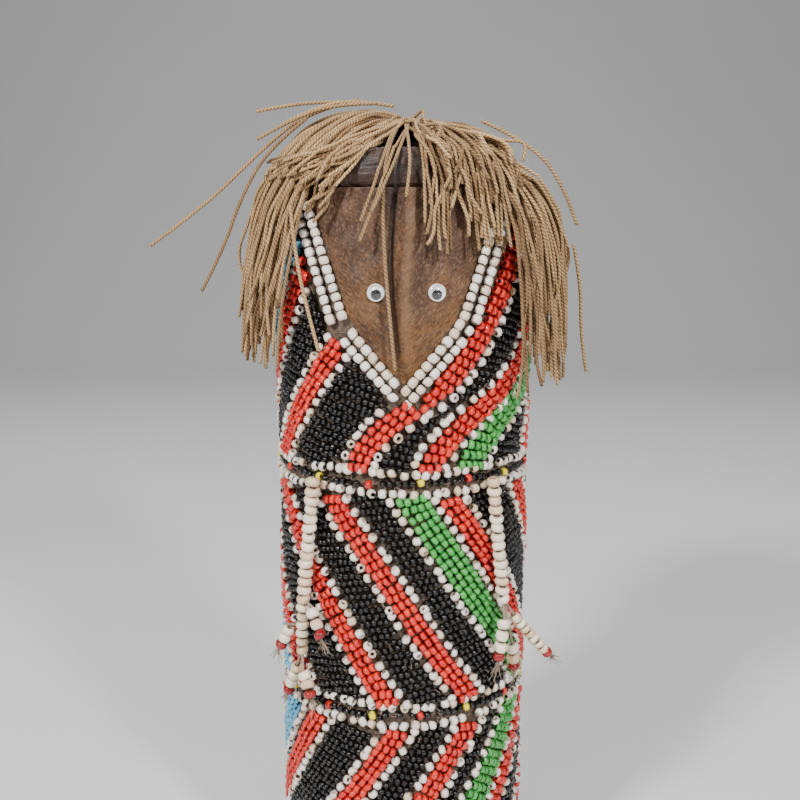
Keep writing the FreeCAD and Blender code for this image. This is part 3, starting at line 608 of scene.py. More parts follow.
splineDegree = 3
backAngle, frontFade = 133, 55    # strands gather towards the front less and less up to this angle
leftOuter = [(0.8, 267), (12, 269.6), (24, 268), (35, 261), (44, 250), (49, 235), (52, 218), (53, 204)]
leftInner = [
    (0.8, 263), (13, 262), (24, 258.4), (34, 252.6), (41.5, 245), (44.2, 235), (44.4, 218), (44.6, 206),
]
rearOuter = [(0.8, 265), (14, 264), (26, 259.4), (39, 250.4), (48, 242), (52, 230), (53.4, 208), (53.5, 196)]
rearInner = [
    (0.8, 262.6), (13, 261), (24, 257), (34, 250.4), (41, 243), (44.2, 232), (44.4, 212), (44.6, 200),
]
mopLocks = {
    "left": {
        "strands": 130, "seed": 11, "ends": (-130, -51), "share": 0.62, "tips": (190, 218), "rings": 105,
        "ease": 1.3, "cross": 2.2,
        "outer": leftOuter, "inner": leftInner,
    },
    "right": {
        "strands": 125, "seed": 12, "ends": (50, 130), "share": 0.45, "tips": (184, 213), "rings": 105,
        "ease": 1.3, "cross": 2.0,
        "outer": rearOuter, "inner": rearInner,
    },
    "back": {
        "strands": 140, "seed": 13, "ends": (126, 234), "share": 0.10, "tips": (184, 213), "rings": 105,
        "ease": 1.3, "cross": 1.8,
        "outer": rearOuter, "inner": rearInner,
    },
    "fringe": {
        "strands": 66, "seed": 14, "ends": (9, 55), "share": 0.30, "tips": (226, 254), "rings": 66,
        "ease": 1.3, "cross": 2.6,
        "outer": [(3, 266.6), (16, 265.6), (30, 263), (40, 258), (45.6, 249), (46.2, 236)],
        "inner": [(3, 263), (16, 262.4), (28, 259.6), (38, 256.6), (43, 249), (43.4, 236)],
    },
    "crown": {
        "strands": 58, "seed": 15, "ends": (-78, -28), "share": 0.97, "tips": (236, 253), "rings": 66,
        "ease": 0.6, "cross": 2.6,
        "outer": [(3, 267), (14, 266), (24, 262.4), (34, 258), (41, 253.4), (45, 247)],
        "inner": [(3, 263), (14, 262), (23, 259.4), (33, 255.6), (40, 251), (43.4, 245)],
    },
}
foreheadStrands = [    # listed strands that hang over the brow, as points from root to tip
    [(-1, -14, 265), (-2, -30, 262), (-5, -39, 257), (-7.5, -42.5, 249), (-12, -43.5, 236)],
    [(2, -14, 265), (1.5, -30, 262.5), (-1, -40, 257), (-3.5, -43, 249), (-9, -44, 238.5)],
    [(3, -12, 265), (1, -29, 262.5), (-3, -40, 256), (-6, -43, 246), (-12.5, -43, 230)],
    [(0, -14, 265), (1, -30, 262), (1.6, -39, 258), (2.2, -43, 250), (0.8, -44, 242.5)],
    [(4, -12, 265.5), (3.5, -28, 263), (5, -39, 258), (6, -43.5, 249), (6.2, -44, 235)],
    [(6, -10, 265.5), (9, -27, 262.6), (10, -38, 257.5), (8.5, -43, 247.5), (7.6, -43.6, 240.5)],
    [(1, -12, 265.5), (6, -29, 262.4), (10.5, -37, 258.5), (14, -41, 252.5), (16, -42, 246)],
    [(5, -10, 265.5), (13, -26, 262), (17, -36, 257), (14.8, -41.5, 247), (10.2, -43, 240.5)],
    [(1, -10, 266), (-3, -27, 263), (-10, -35.5, 259.6), (-20, -37.5, 254), (-30, -35.5, 246)],
    [(1, -12, 266), (-1, -29, 262.6), (-7, -38, 258.6), (-15, -40, 252.6), (-24, -39.5, 245)],
    [(2, -9, 266.4), (-4, -24, 264), (-13, -33, 261), (-24, -35.5, 256), (-34, -33, 248)],
]


def splineWeights(samples, controls):
    # how much each control point counts at each sample of a clamped B-spline, by Cox and de Boor's sum
    knots = np.concatenate([
        np.zeros(splineDegree), np.linspace(0, 1, controls - splineDegree + 1), np.ones(splineDegree),
    ])
    spot = np.linspace(0, 1 - 1e-9, samples)[:, None]
    weights = ((knots[:-1] <= spot) & (spot < knots[1:])).astype(float)
    for degree in range(1, splineDegree + 1):
        count = len(knots) - 1 - degree
        left, right = knots[:count], knots[degree + 1:degree + 1 + count]
        near, far = knots[degree:degree + count], knots[1:1 + count]
        rising = (spot - left) / np.where(near > left, near - left, 1) * (near > left)
        falling = (right - spot) / np.where(right > far, right - far, 1) * (right > far)
        weights = rising * weights[:, :count] + falling * weights[:, 1:count + 1]
    return weights


def lockPaths(lock):
    # each strand's controls lie a share of the way from the inner to the outer outline. Its angle starts
    # a share of the way back to the front and eases to its end, and random shifts grow towards the tip
    draw = np.random.default_rng(lock["seed"])
    count = lock["strands"]
    inner, outer = np.array(lock["inner"], float), np.array(lock["outer"], float)
    layer = np.sqrt(draw.random(count))[:, None]
    along = np.linspace(0, 1, len(inner))
    radius = inner[:, 0] + (outer - inner)[:, 0] * layer
    height = inner[:, 1] + (outer - inner)[:, 1] * layer
    tip = draw.uniform(*lock["tips"], count)
    drop = (height[:, -1] - tip)[:, None]
    height = height - drop * np.clip((along - 0.55) / 0.45, 0, 1)
    low, high = lock["ends"]
    end = (low + (high - low) * (np.arange(count) + draw.random(count)) / count)[:, None]
    gather = lock["share"] * np.clip((backAngle - np.abs(end)) / frontFade, 0.10, 1)
    angle = end * (1 - gather * (1 - along) ** lock["ease"])
    crossing = draw.normal(0, lock["cross"], (count, len(along))) * along
    angle = angle + draw.normal(0, 2.2, (count, 1)) * (1 - along) + crossing
    radius = radius + draw.normal(0, 0.5, radius.shape) * along
    height = height + draw.normal(0, 0.5, height.shape) * along
    return around(radius, angle, height)


hug = {    # the lowest that strands may lie at each radius, over the brow in front and over the cap elsewhere
    "radius": (0, 13, 24, 34, 38, 40.4, 42.4), "front": (262.8, 262.6, 260.6, 257.2, 256.4, 252.6, 247.0),
    "rear": (262.6, 260.9, 256.6, 249.4, 245.6, 242.6, 240.0), "side": 43.2, "frontAngle": 70, "fade": 18,
}


def waved(paths, seed, much):
    # each strand swings in slow waves that grow along it, and is then held clear of the cap and the body
    draw = np.random.default_rng(seed)
    strands, rings, _ = paths.shape
    share = np.linspace(0, 1, rings)[None, :, None]
    swing = much * draw.gamma(2.0, 0.5, (strands, 1, 1))
    total = 0
    for waves in (1.1, 2.3, 4.6):
        pace = waves * draw.uniform(0.75, 1.3, (strands, 1, 3))
        start = draw.uniform(0, 2 * np.pi, (strands, 1, 3))
        swell = draw.normal(0, 1, (strands, 1, 3))
        total = total + swell * np.sin(2 * np.pi * pace * share + start) / waves**1.1
    moved = paths + total * swing * np.clip(share * 4, 0.15, 1)
    radius = np.linalg.norm(moved[..., :2], axis=-1)
    turn = np.abs(np.degrees(np.arctan2(moved[..., 0], -moved[..., 1])))
    front = np.clip((hug["frontAngle"] - turn) / hug["fade"], 0, 1)
    high, low = (np.interp(radius, hug["radius"], hug[place]) for place in ("front", "rear"))
    floor = low + (high - low) * front
    moved[..., 2] = np.where(radius < hug["radius"][-1], np.maximum(moved[..., 2], floor), moved[..., 2])
    pushed = np.where((radius > hug["radius"][-1]) & (radius < hug["side"]), hug["side"] / radius, 1.0)
    moved[..., :2] *= pushed[..., None]
    return moved


def resampled(controls, rings):
    # strands x rings points, evenly spaced, on the splines of strands x controls
    fine = splineWeights(160, controls.shape[1]) @ controls
    gaps = np.linalg.norm(np.diff(fine, axis=1), axis=2)
    distance = np.concatenate([np.zeros((len(fine), 1)), np.cumsum(gaps, axis=1)], axis=1)
    share = distance / distance[:, -1:]
    spots = np.linspace(0, 1, rings)
    strands = range(len(fine))
    return np.stack([
        [np.interp(spots, share[number], fine[number, :, axis]) for axis in range(3)] for number in strands
    ]).transpose(0, 2, 1)


def addMop():
    for name, lock in mopLocks.items():
        controls = lockPaths(lock)
        draw = np.random.default_rng(lock["seed"] + 50)
        paths = waved(resampled(controls, lock["rings"]), lock["seed"] + 90, 0.70)
        tints = np.clip(draw.normal(0.5, 0.32, len(paths)), 0, 1)
        piece = twineMesh("mop_" + name, paths, tints, twine["radius"])
        settle(piece, "doll", "twine", "hair_" + name)
    paths = waved(resampled(np.array(foreheadStrands, float), 60), 99, 0.35)
    piece = twineMesh("mop_forehead", paths, np.linspace(0.35, 0.8, len(paths)), twine["radius"])
    settle(piece, "doll", "twine")


addMop()
print("mop ready")


# beads: a small outline of (radius, along) turned about the bead's axis, for a bead of radius 1 and length 1

roundOutline = [(0.34, 0.0), (0.58, -0.5), (0.98, -0.17), (0.98, 0.17), (0.58, 0.5)]
seedOutline = [(0.34, 0.0), (0.66, -0.5), (1.0, -0.23), (1.0, 0.23), (0.66, 0.5)]
largeOutline = [
    (0.26, 0.0), (0.30, -0.34), (0.40, -0.46), (0.58, -0.5), (0.82, -0.40), (0.96, -0.20), (1.0, 0.0),
    (0.96, 0.20), (0.82, 0.40), (0.58, 0.5), (0.40, 0.46), (0.30, 0.34),
]
seedSides = 8
largeSides = 22


def turnedOutline(outline, sides):
    # the points and quads of an outline carried once round the axis
    outline = np.array(outline)
    corner = 2 * np.pi * np.arange(sides) / sides
    points = np.stack([
        outline[:, :1] * np.cos(corner), outline[:, :1] * np.sin(corner), outline[:, 1:] + 0 * corner,
    ], -1)
    rows = len(outline)
    faces = gridFaces(rows, sides, True)
    closing = faces[:sides] % sides + np.array([rows - 1, rows - 1, 0, 0]) * sides
    return points.reshape(-1, 3), np.concatenate([faces, closing])


def beadMesh(name, beads, materials, outline=seedOutline, sides=seedSides, rough=0.0, seed=1):
    # beads holds arrays: middle and axis (n x 3, millimetres), radius, length and, if wanted, which. Each
    # point is middle + radius * (x * side + y * third) + length * z * axis, rough making each one uneven
    draw = np.random.default_rng(seed)
    shape, quads = turnedOutline(outline, sides)
    middle, axis = beads["middle"], unit(beads["axis"])
    count = len(middle)
    helper = np.where(np.abs(axis[:, 2:]) < 0.8, np.array([[0.0, 0.0, 1.0]]), np.array([[1.0, 0.0, 0.0]]))
    side = unit(np.cross(helper, axis))
    third = np.cross(axis, side)
    spin = draw.uniform(0, 2 * np.pi, (count, 1))
    side, third = np.cos(spin) * side + np.sin(spin) * third, np.cos(spin) * third - np.sin(spin) * side
    radius = beads["radius"][:, None, None]
    oval = 1 + rough * draw.normal(0, 1, (count, 1, 1))
    slant = rough * 1.6 * draw.normal(0, 1, (count, 1))
    along = (shape[:, 2] + slant * shape[:, 0])[..., None] * beads["length"][:, None, None]
    points = middle[:, None] + radius * (
        oval * shape[:, :1] * side[:, None] + shape[:, 1:2] / oval * third[:, None]
    ) + along * axis[:, None]
    shift = (np.arange(count) * len(shape))[:, None, None]
    which = beads.get("which")
    # how near each point lies to the hole: where the painted shade in the hole and the brown thread inside it
    # go
    grime = np.clip((0.80 - np.hypot(shape[:, 0], shape[:, 1])) / 0.40, 0, 1)
    return meshPiece(
        name, points.reshape(-1, 3) * mm, [(quads + shift).reshape(-1, 4)], materials,
        {"tint": np.repeat(draw.random(count), len(shape)), "grime": np.tile(grime, count)},
        None if which is None else np.repeat(which, len(quads)),
    )


def joined(parts):
    # several sets of beads as one
    return {key: np.concatenate([part[key] for part in parts]) for key in parts[0]}


def chosen(beads, mask):
    return {key: values[mask] for key, values in beads.items()}


def onCloth(angle, height, tilt, lift, radius, length, out):
    # beads that lie on the sleeve: tilt is the axis's slope from level and lift its lean out of the
    # surface, both in degrees, and out is the gap under the bead in millimetres
    angle, height, tilt, lift, radius, length, out = np.broadcast_arrays(
        *(np.asarray(value, float) for value in (angle, height, tilt, lift, radius, length, out))
    )
    turn = np.radians(angle)
    level = np.stack([np.cos(turn), np.sin(turn), 0 * turn], -1)
    outwards = np.stack([np.sin(turn), -np.cos(turn), 0 * turn], -1)
    up = np.array([0.0, 0.0, 1.0])
    slope, lean = np.radians(tilt)[..., None], np.radians(lift)[..., None]
    flat = np.cos(slope) * level + np.sin(slope) * up
    return {
        "middle": around(clothRadius + radius + out, angle, height),
        "axis": np.cos(lean) * flat + np.sin(lean) * outwards,
        "radius": radius.copy(), "length": length.copy(),
    }


def beadPlaces(node, strung=False):
    # the separate beads of a CAD node: points that share a triangle belong to one bead. Strung beads point
    # at their neighbours up and down the string, and others along the odd one of their three spreads
    mesh = frame["nodes"][node].data
    points = np.empty(len(mesh.vertices) * 3, np.float32)
    mesh.vertices.foreach_get("co", points)
    corners = np.empty(len(mesh.loops), np.int32)
    mesh.loops.foreach_get("vertex_index", corners)
    spots, same = np.unique((points.reshape(-1, 3) / mm).round(3), axis=0, return_inverse=True)
    triangles = same.ravel()[corners].reshape(-1, 3)
    group = np.arange(len(spots))
    settled = False
    while not settled:
        lowest = group[triangles].min(axis=1)
        after = group.copy()
        for corner in range(3):
            np.minimum.at(after, triangles[:, corner], lowest)
        after = after[after]
        settled = bool((after == group).all())
        group = after
    found = {"middle": [], "axis": [], "radius": [], "length": []}
    clouds = [spots[group == label] for label in np.unique(group)]
    middles = np.array([(own.min(axis=0) + own.max(axis=0)) / 4 + own.mean(axis=0) / 2 for own in clouds])
    order = np.argsort(middles[:, 2])
    axes = unit(np.gradient(middles[order], axis=0)) if strung else None
    for place, number in enumerate(order):
        own, middle = clouds[number], middles[number]
        if strung:
            axis = axes[place]
        else:
            spread, ways = np.linalg.eigh(np.cov((own - middle).T))
            axis = ways[:, np.argmax(np.abs(spread - np.median(spread)))]
        reach = (own - middle) @ axis
        found["middle"].append(middle)
        found["axis"].append(axis)
        found["radius"].append(np.linalg.norm(own - middle - np.outer(reach, axis), axis=1).max())
        found["length"].append(np.ptp(reach))
    return {key: np.array(values) for key, values in found.items()}


# seed beads in slanting stripes

seedBeads = {
    "red": {"radius": 1.45, "length": 2.18, "pitch": 2.98, "across": 3, "out": 0.05},
    "green": {"radius": 1.42, "length": 2.20, "pitch": 2.92, "across": 4, "out": 0.05},
    "blue": {"radius": 1.35, "length": 2.10, "pitch": 2.80, "across": 4, "out": 0.05},
    "black": {"radius": 1.07, "length": 1.93, "pitch": 2.28, "across": 0, "out": 0.10},
    "white": {"radius": 1.40, "length": 2.35, "pitch": 3.75, "across": 1, "out": 0.10},
}
edgeRoom = 2.55    # room for one white bead beside a coloured stripe
chestStripes = [
    ("red", 65, -20), ("black", 84, -6), ("red", 105, 11), ("green", 125, 31), ("black", 145, 52),
    ("red", 165, 74), ("black", 185, 95), ("red", 205, 116), ("black", 225, 137), ("red", 245, 157),
    ("black", 265, 177), ("red", 285, 197), ("black", 302, 217), ("blue", 318, 236), ("red", 334, 255),
    ("black", 354, 273), ("red", 375, 292), ("black", 398, 314),
]
chestBend = {    # how far a bent stripe has gone towards its top angle at each share of the height
    "share": (0, 0.06, 0.13, 0.20, 0.26, 0.36, 0.50, 0.70, 1),
    "gone": (0, 0.02, 0.10, 0.20, 0.33, 0.50, 0.64, 0.81, 1),
    "straight": 11, "fade": 5,
}
bellyMiddles = [
    ("red", -83), ("black", -60), ("red", -38), ("black", -19), ("red", -1.5), ("black", 17), ("green", 34),
    ("red", 51), ("black", 73), ("red", 94), ("black", 114), ("red", 134), ("black", 154), ("red", 174),
    ("black", 194), ("red", 214), ("black", 235), ("blue", 257),
]
skirtTops = [
    ("blue", -59), ("red", -40), ("black", -21.5), ("red", 0.5), ("black", 18.5), ("red", 34),
    ("black", 49.5),
    ("green", 63), ("red", 79), ("black", 98), ("red", 117), ("black", 136), ("red", 155), ("black", 174),
    ("red", 193), ("black", 212), ("red", 232), ("black", 255), ("red", 280),
]
panelSpill = 1.3    # how far the rows may run past their panel, up to the bands
chestRise = 0.2    # the same at the chest's top
neckRoom = 2.5    # how far a seed bead's middle keeps from the edging's outer row
rimRoom = 1.2    # and from the sleeve's rim
panels = {    # each stripe is its colour and its angles at the panel's top and bottom
    "chest": {
        "stripes": chestStripes, "turn": 0.72, "end": 0.20, "seed": 21, "straight": chestBend["straight"],
    },
    "belly": {
        "stripes": [(colour, middle - 33, middle + 33) for colour, middle in bellyMiddles],
        "turn": 1.0, "end": 0.30, "seed": 22, "straight": 0,
    },
    "skirt": {
        "stripes": [(colour, top, top - 66) for colour, top in skirtTops],
        "turn": 1.0, "end": 0.30, "seed": 23, "straight": 0,
    },
}
blackTurn = 0.38    # how far black rows turn from level towards square with their stripe
degreesPerMm = 180 / (math.pi * (clothRadius + 1.4))


def neckRows():
    # the outer edging rows on both sides, as heights and how far across they lie
    rows = {}
    for side in ("left", "right"):
        middle = beadPlaces("neck_edging_%s_outer" % side)["middle"]
        rows[side] = middle[np.argsort(middle[:, 2])]
    return rows


neck = neckRows()
chinLow = min(neck["left"][0, 2], neck["right"][0, 2])


def clearOfNeck(beads, room):
    # beads outside the neckline's edging by some room
    across, depth, height = beads["middle"].T
    left = np.interp(height, neck["left"][:, 2], neck["left"][:, 0]) - room
    right = np.interp(height, neck["right"][:, 2], neck["right"][:, 0]) + room
    inside = (across > left) & (across < right) & (height > chinLow - room) & (depth < 0)
    return ~inside


def stripeLine(stripe, bend, height, draw):
    # the stripe's middle angle at each height, bent by a share of the chest's bend, with a slow wander
    _, top, bottom = stripe
    start, pace = draw.uniform(0, 6.3), draw.uniform(7.5, 11.0)
    share = (height - height[0]) / (height[-1] - height[0])
    gone = share + bend * (np.interp(share, chestBend["share"], chestBend["gone"]) - share)
    padded = np.pad(gone, 10, mode="reflect", reflect_type="odd")
    gone = np.convolve(padded, np.ones(21) / 21, "valid")
    return bottom + (top - bottom) * gone + 0.75 * np.sin(height / pace + start)


def leanOf(line, height):
    # how far a line runs across for each millimetre up, and the cosine of its lean from upright
    run = np.gradient(line, height) / degreesPerMm
    return run, 1 / np.sqrt(1 + run**2)


rowSet = {    # how rows ease towards their ends, and how unevenly their beads lie, in millimetres and degrees
    "ease": 13.0, "slope": 2.4, "shift": 0.16, "place": 0.14, "turn": 6.0, "radius": 0.035, "fill": 0.95,
    "length": 0.03, "out": 0.12,
}


def rowsAlong(line, width, height, turn, end, bead, draw):
    # rows laid across a stripe. line and width are given at each height, width in millimetres measured
    # square across. A row's slope is the stripe's square direction times turn, eased to end near both ends
    run, cosLean = leanOf(line, height)
    square = np.degrees(np.arctan(-run))
    near = np.minimum(height - height[0], height[-1] - height) / rowSet["ease"]
    ease = np.clip(near, 0, 1) ** 2 * (3 - 2 * np.clip(near, 0, 1))
    tilt = square * (end + (turn - end) * ease)
    off = np.radians(square - tilt)
    pace = np.gradient(height) / cosLean * np.cos(off) / bead["pitch"]
    passed = np.cumsum(pace)
    rows = np.arange(int(passed[-1])) + 0.5
    spot = np.interp(rows, passed, height)
    middle = np.interp(spot, height, line)
    slope = np.interp(spot, height, tilt) + draw.normal(0, rowSet["slope"], len(rows))
    middle = middle + draw.normal(0, rowSet["shift"], len(rows))
    across = np.interp(spot, height, width / np.cos(off))
    counts = np.full(len(rows), bead["across"])
    if not bead["across"]:
        counts = np.maximum(np.round(across / bead["length"]), 1).astype(int)
    most = int(counts.max())
    number = np.arange(most)
    used = number < counts[:, None]
    length = (across / counts)[:, None]
    offset = (number - (counts[:, None] - 1) / 2) * length
    turned = np.radians(slope)[:, None]
    angle = middle[:, None] + offset * np.cos(turned) * degreesPerMm
    level = spot[:, None] + offset * np.sin(turned)
    shape = angle.shape
    beads = onCloth(
        angle + draw.normal(0, rowSet["place"], shape), level + draw.normal(0, rowSet["place"], shape),
        slope[:, None] + draw.normal(0, rowSet["turn"], shape), draw.normal(0, rowSet["turn"], shape),
        bead["radius"] * (1 + draw.normal(0, rowSet["radius"], shape)),
        rowSet["fill"] * length * (1 + draw.normal(0, rowSet["length"], shape)),
        bead["out"] + np.abs(draw.normal(0, rowSet["out"], shape)),
    )
    return chosen(beads, used)


borderSet = {    # how unevenly a border's beads lie, and the share that shows a hole
    "place": 0.14, "offset": 0.18, "facing": 0.12, "faceTurn": (45, 80), "turn": 12, "radius": 0.05,
    "length": 0.07, "out": 0.15,
}


def edgeBeads(line, offset, height, draw):
    # single white beads along a border, unevenly spaced and turned every way
    bead = seedBeads["white"]
    cosLean = leanOf(line, height)[1]
    passed = np.cumsum(np.gradient(height) / cosLean) / bead["pitch"]
    count = int(passed[-1])
    spot = np.interp(np.arange(count) + 0.5 + draw.normal(0, borderSet["place"], count), passed, height)
    reach = (offset + draw.normal(0, borderSet["offset"], count)) / np.interp(spot, height, cosLean)
    angle = np.interp(spot, height, line) + reach * degreesPerMm
    facing = draw.random(count) < borderSet["facing"]
    return onCloth(
        angle, spot, draw.uniform(-90, 90, count),
        np.where(
            facing, draw.uniform(*borderSet["faceTurn"], count), draw.normal(0, borderSet["turn"], count),
        ),
        bead["radius"] * (1 + draw.normal(0, borderSet["radius"], count)),
        bead["length"] * (1 + draw.normal(0, borderSet["length"], count)),
        bead["out"] + np.abs(draw.normal(0, borderSet["out"], count)),
    )


def panelBeads(panel, low, high):
    # every bead of a panel by colour. Coloured stripes have a fixed number of beads across, and black
    # ones fill what is left between their neighbours' white borders
    draw = np.random.default_rng(panel["seed"])
    height = np.linspace(low, high, 200)
    stripes = panel["stripes"]
    lines = []
    for number, stripe in enumerate(stripes):
        bend = np.clip((panel["straight"] - number) / chestBend["fade"], 0, 1)
        lines.append(stripeLine(stripe, float(bend), height, draw))
    halves = []
    for colour, _, _ in stripes:
        bead = seedBeads[colour]
        halves.append(bead["across"] * bead["length"] / 2)
    found = {}
    count = len(stripes)
    for number, (colour, _, _) in enumerate(stripes):
        before, after = (number - 1) % count, (number + 1) % count
        cosLean = leanOf(lines[number], height)[1]
        lineBefore = lines[before] - (360 if number == 0 else 0)
        lineAfter = lines[after] + (360 if number == count - 1 else 0)
        bead = seedBeads[colour]
        if colour == "black":
            left = lineBefore + (halves[before] + edgeRoom) / leanOf(lineBefore, height)[1] * degreesPerMm
            right = lineAfter - (halves[after] + edgeRoom) / leanOf(lineAfter, height)[1] * degreesPerMm
            width = np.maximum((right - left) / degreesPerMm * cosLean, bead["length"])
            rows = rowsAlong((left + right) / 2, width, height, blackTurn, blackTurn, bead, draw)
        else:
            width = np.full(len(height), 2 * halves[number])
            rows = rowsAlong(lines[number], width, height, panel["turn"], panel["end"], bead, draw)
            reach = halves[number] + edgeRoom / 2
            found.setdefault("white", []).append(edgeBeads(lines[number], reach, height, draw))
            if stripes[before][0] == "black":
                found["white"].append(edgeBeads(lines[number], -reach, height, draw))
        found.setdefault(colour, []).append(rows)
    return {colour: joined(parts) for colour, parts in found.items()}


def panelSpan(name):
    # the heights between which a panel's beads may lie, from its CAD strips
    boxes = [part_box("%s_%s" % (name, colour)) for colour in ("red", "black")]
    return min(box[0].z for box in boxes) / mm, max(box[1].z for box in boxes) / mm


def addPanels():
    shared = {"green": [], "blue": []}
    for name, panel in panels.items():
        low, high = panelSpan(name)
        low, high = low - panelSpill, high + (chestRise if name == "chest" else panelSpill)
        for colour, beads in panelBeads(panel, low, high).items():
            below = beads["middle"][:, 2] < rimHeight - rimRoom
            beads = chosen(beads, clearOfNeck(beads, neckRoom) & below)
            if colour in shared:
                shared[colour].append(beads)
                continue
            material = "whiteChalk" if colour == "white" else colour + "Glass"
            outline = roundOutline if colour == "black" else seedOutline
            label = "%s_%s_beads" % (name, colour)
            piece = beadMesh(label, beads, [material], outline, rough=0.03, seed=panel["seed"] + 5)
            settle(piece, "doll", colour + "_bead", "%s_%s" % (name, colour))
            print("  ", name, colour, len(beads["radius"]), "beads")
    for colour, parts in shared.items():
        piece = beadMesh(colour + "_stripe_beads", joined(parts), [colour + "Glass"], rough=0.03, seed=31)
        settle(piece, "doll", colour + "_bead", colour + "_stripes")


addPanels()
print("panels ready")


# rings round the body

bandSet = {"pitch": 3.25, "cycle": 43.0, "seed": 41}
bandStarts = {"shoulder_band": 7.0, "hip_band": -14.0, "hem_band": 0.0}    # the angle of a yellow bead


ringSet = {    # a band's white beads, in millimetres and degrees, and how unevenly they lie
    "radius": 1.40, "length": 2.4, "out": 0.08, "waves": 5, "swing": 0.45, "place": 0.13, "wander": 0.22,
    "turn": 24, "facing": 0.08, "faceTurn": (40, 75), "tip": 10, "radiusSpread": 0.05, "lengthSpread": 0.07,
    "outSpread": 0.12, "missing": 0.06,
}
accentSet = {    # and its coloured ones, where plain is a black bead and marked a yellow or red one
    "pitch": 2.2, "plainRadius": 1.08, "markedRadius": 1.35, "plainLength": 1.85, "markedLength": 2.15,
    "out": 0.08, "waves": 4, "swing": 0.4, "place": 0.25, "wander": 0.2, "turn": (4, 9), "tip": 14,
    "radiusSpread": 0.04, "outSpread": 0.1, "missing": 0.16,
}


def whiteRings(name):
    # two uneven strings of white beads, with a missing bead here and there
    low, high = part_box(name + "_white")
    half = (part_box(name + "_accents")[1].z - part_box(name + "_accents")[0].z) / 2 / mm
    draw = np.random.default_rng(bandSet["seed"] + len(name))
    parts = []
    for level in (low.z / mm + half, high.z / mm - half):
        count = int(360 / (bandSet["pitch"] * degreesPerMm))
        angle = (np.arange(count) + draw.normal(0, ringSet["place"], count)) * 360 / count
        wander = ringSet["swing"] * np.sin(np.radians(angle) * ringSet["waves"] + level)
        wander = wander + draw.normal(0, ringSet["wander"], count)
        facing = draw.random(count) < ringSet["facing"]
        beads = onCloth(
            angle, level + wander, draw.normal(0, ringSet["turn"], count),
            np.where(
                facing, draw.uniform(*ringSet["faceTurn"], count), draw.normal(0, ringSet["tip"], count),
            ),
            ringSet["radius"] * (1 + draw.normal(0, ringSet["radiusSpread"], count)),
            ringSet["length"] * (1 + draw.normal(0, ringSet["lengthSpread"], count)),
            ringSet["out"] + np.abs(draw.normal(0, ringSet["outSpread"], count)),
        )
        parts.append(chosen(beads, draw.random(count) > ringSet["missing"]))
    return joined(parts)


def accentRing(name):
    # a string of black beads with a yellow and a red one in every cycle, and bare cloth between the groups
    low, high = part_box(name + "_accents")
    level = (low.z + high.z) / 2 / mm
    draw = np.random.default_rng(bandSet["seed"] + 2 * len(name))
    step = accentSet["pitch"] * degreesPerMm
    angle = np.arange(0, 360 - step / 2, step) + bandStarts[name]
    cycle = bandSet["cycle"] * 360 / (round(360 / bandSet["cycle"]) * bandSet["cycle"])
    place = (angle - bandStarts[name]) % cycle
    yellow = (place < step / 2) | (place > cycle - step / 2)
    red = np.abs(place - cycle / 2) < step / 2
    which = np.where(yellow, 2, np.where(red, 1, 0))
    plain = which == 0
    count = len(angle)
    radius = np.where(plain, accentSet["plainRadius"], accentSet["markedRadius"])
    radius = radius * (1 + draw.normal(0, accentSet["radiusSpread"], count))
    swing = accentSet["swing"] * np.sin(np.radians(angle) * accentSet["waves"])
    beads = onCloth(
        angle + draw.normal(0, accentSet["place"], count),
        level + swing + draw.normal(0, accentSet["wander"], count),
        draw.normal(*accentSet["turn"], count), draw.normal(0, accentSet["tip"], count), radius,
        np.where(plain, accentSet["plainLength"], accentSet["markedLength"]),
        accentSet["out"] + np.abs(draw.normal(0, accentSet["outSpread"], count)),
    )
    beads["which"] = which
    return chosen(beads, ~plain | (draw.random(count) > accentSet["missing"]))


def addBands():
    for number, name in enumerate(bandStarts):
        rings = whiteRings(name)
        white = beadMesh(name + "_white_beads", rings, ["whiteChalk"], rough=0.04, seed=51 + number)
        settle(white, "doll", "white_bead", name + "_white")
        colours = ["blackGlass", "redGlass", "yellowGlass"]
        accents = beadMesh(
            name + "_accent_beads", accentRing(name), colours, rough=0.03, seed=61 + number,
        )
        settle(accents, "doll", "black_bead", name + "_accents")


addBands()
print("bands ready")


# neck edging, arms and fingers: their beads stand where the frame's do

looseSet = {
    "turn": 0.14, "size": 0.045, "rough": 0.04, "gap": 3.9, "edge": 0.93, "shorter": 0.93, "edgeSides": 14,
}


def uneven(beads, seed, turn=looseSet["turn"]):
    # the same beads, each turned and sized a little differently
    draw = np.random.default_rng(seed)
    count = len(beads["radius"])
    beads["axis"] = unit(beads["axis"] + draw.normal(0, turn, (count, 3)))
    beads["radius"] = beads["radius"] * (1 + draw.normal(-0.01, looseSet["size"], count))
    beads["length"] = beads["length"] * (looseSet["shorter"] + draw.normal(0, looseSet["size"], count))
    return beads


def filled(beads, gap):
    # the same row of beads from low to high, with one more in each gap and one past its lowest
    order = np.argsort(beads["middle"][:, 2])
    beads = chosen(beads, order)
    middle = beads["middle"]
    wide = np.flatnonzero(np.linalg.norm(np.diff(middle, axis=0), axis=1) > gap)
    more = chosen(beads, np.concatenate([wide, [0]]))
    more["middle"] = np.concatenate([(middle[wide] + middle[wide + 1]) / 2, [2 * middle[0] - middle[1]]])
    return joined([beads, more])


def addEdging():
    rows = [(side, row) for side in ("left", "right") for row in ("inner", "outer")]
    for number, (side, row) in enumerate(rows):
        name = "neck_edging_%s_%s" % (side, row)
        beads = beadPlaces(name, strung=True)
        if side == "right":
            beads = filled(beads, looseSet["gap"])
        beads = uneven(beads, 71 + number, 0.10)
        beads["radius"] = beads["radius"] * looseSet["edge"]
        piece = beadMesh(
            name + "_beads", beads, ["whiteChalk"], largeOutline, looseSet["edgeSides"], looseSet["rough"],
            75 + number,
        )
        settle(piece, "doll", "white_bead", name)


tuftRadius = 0.09
fineSides = 4


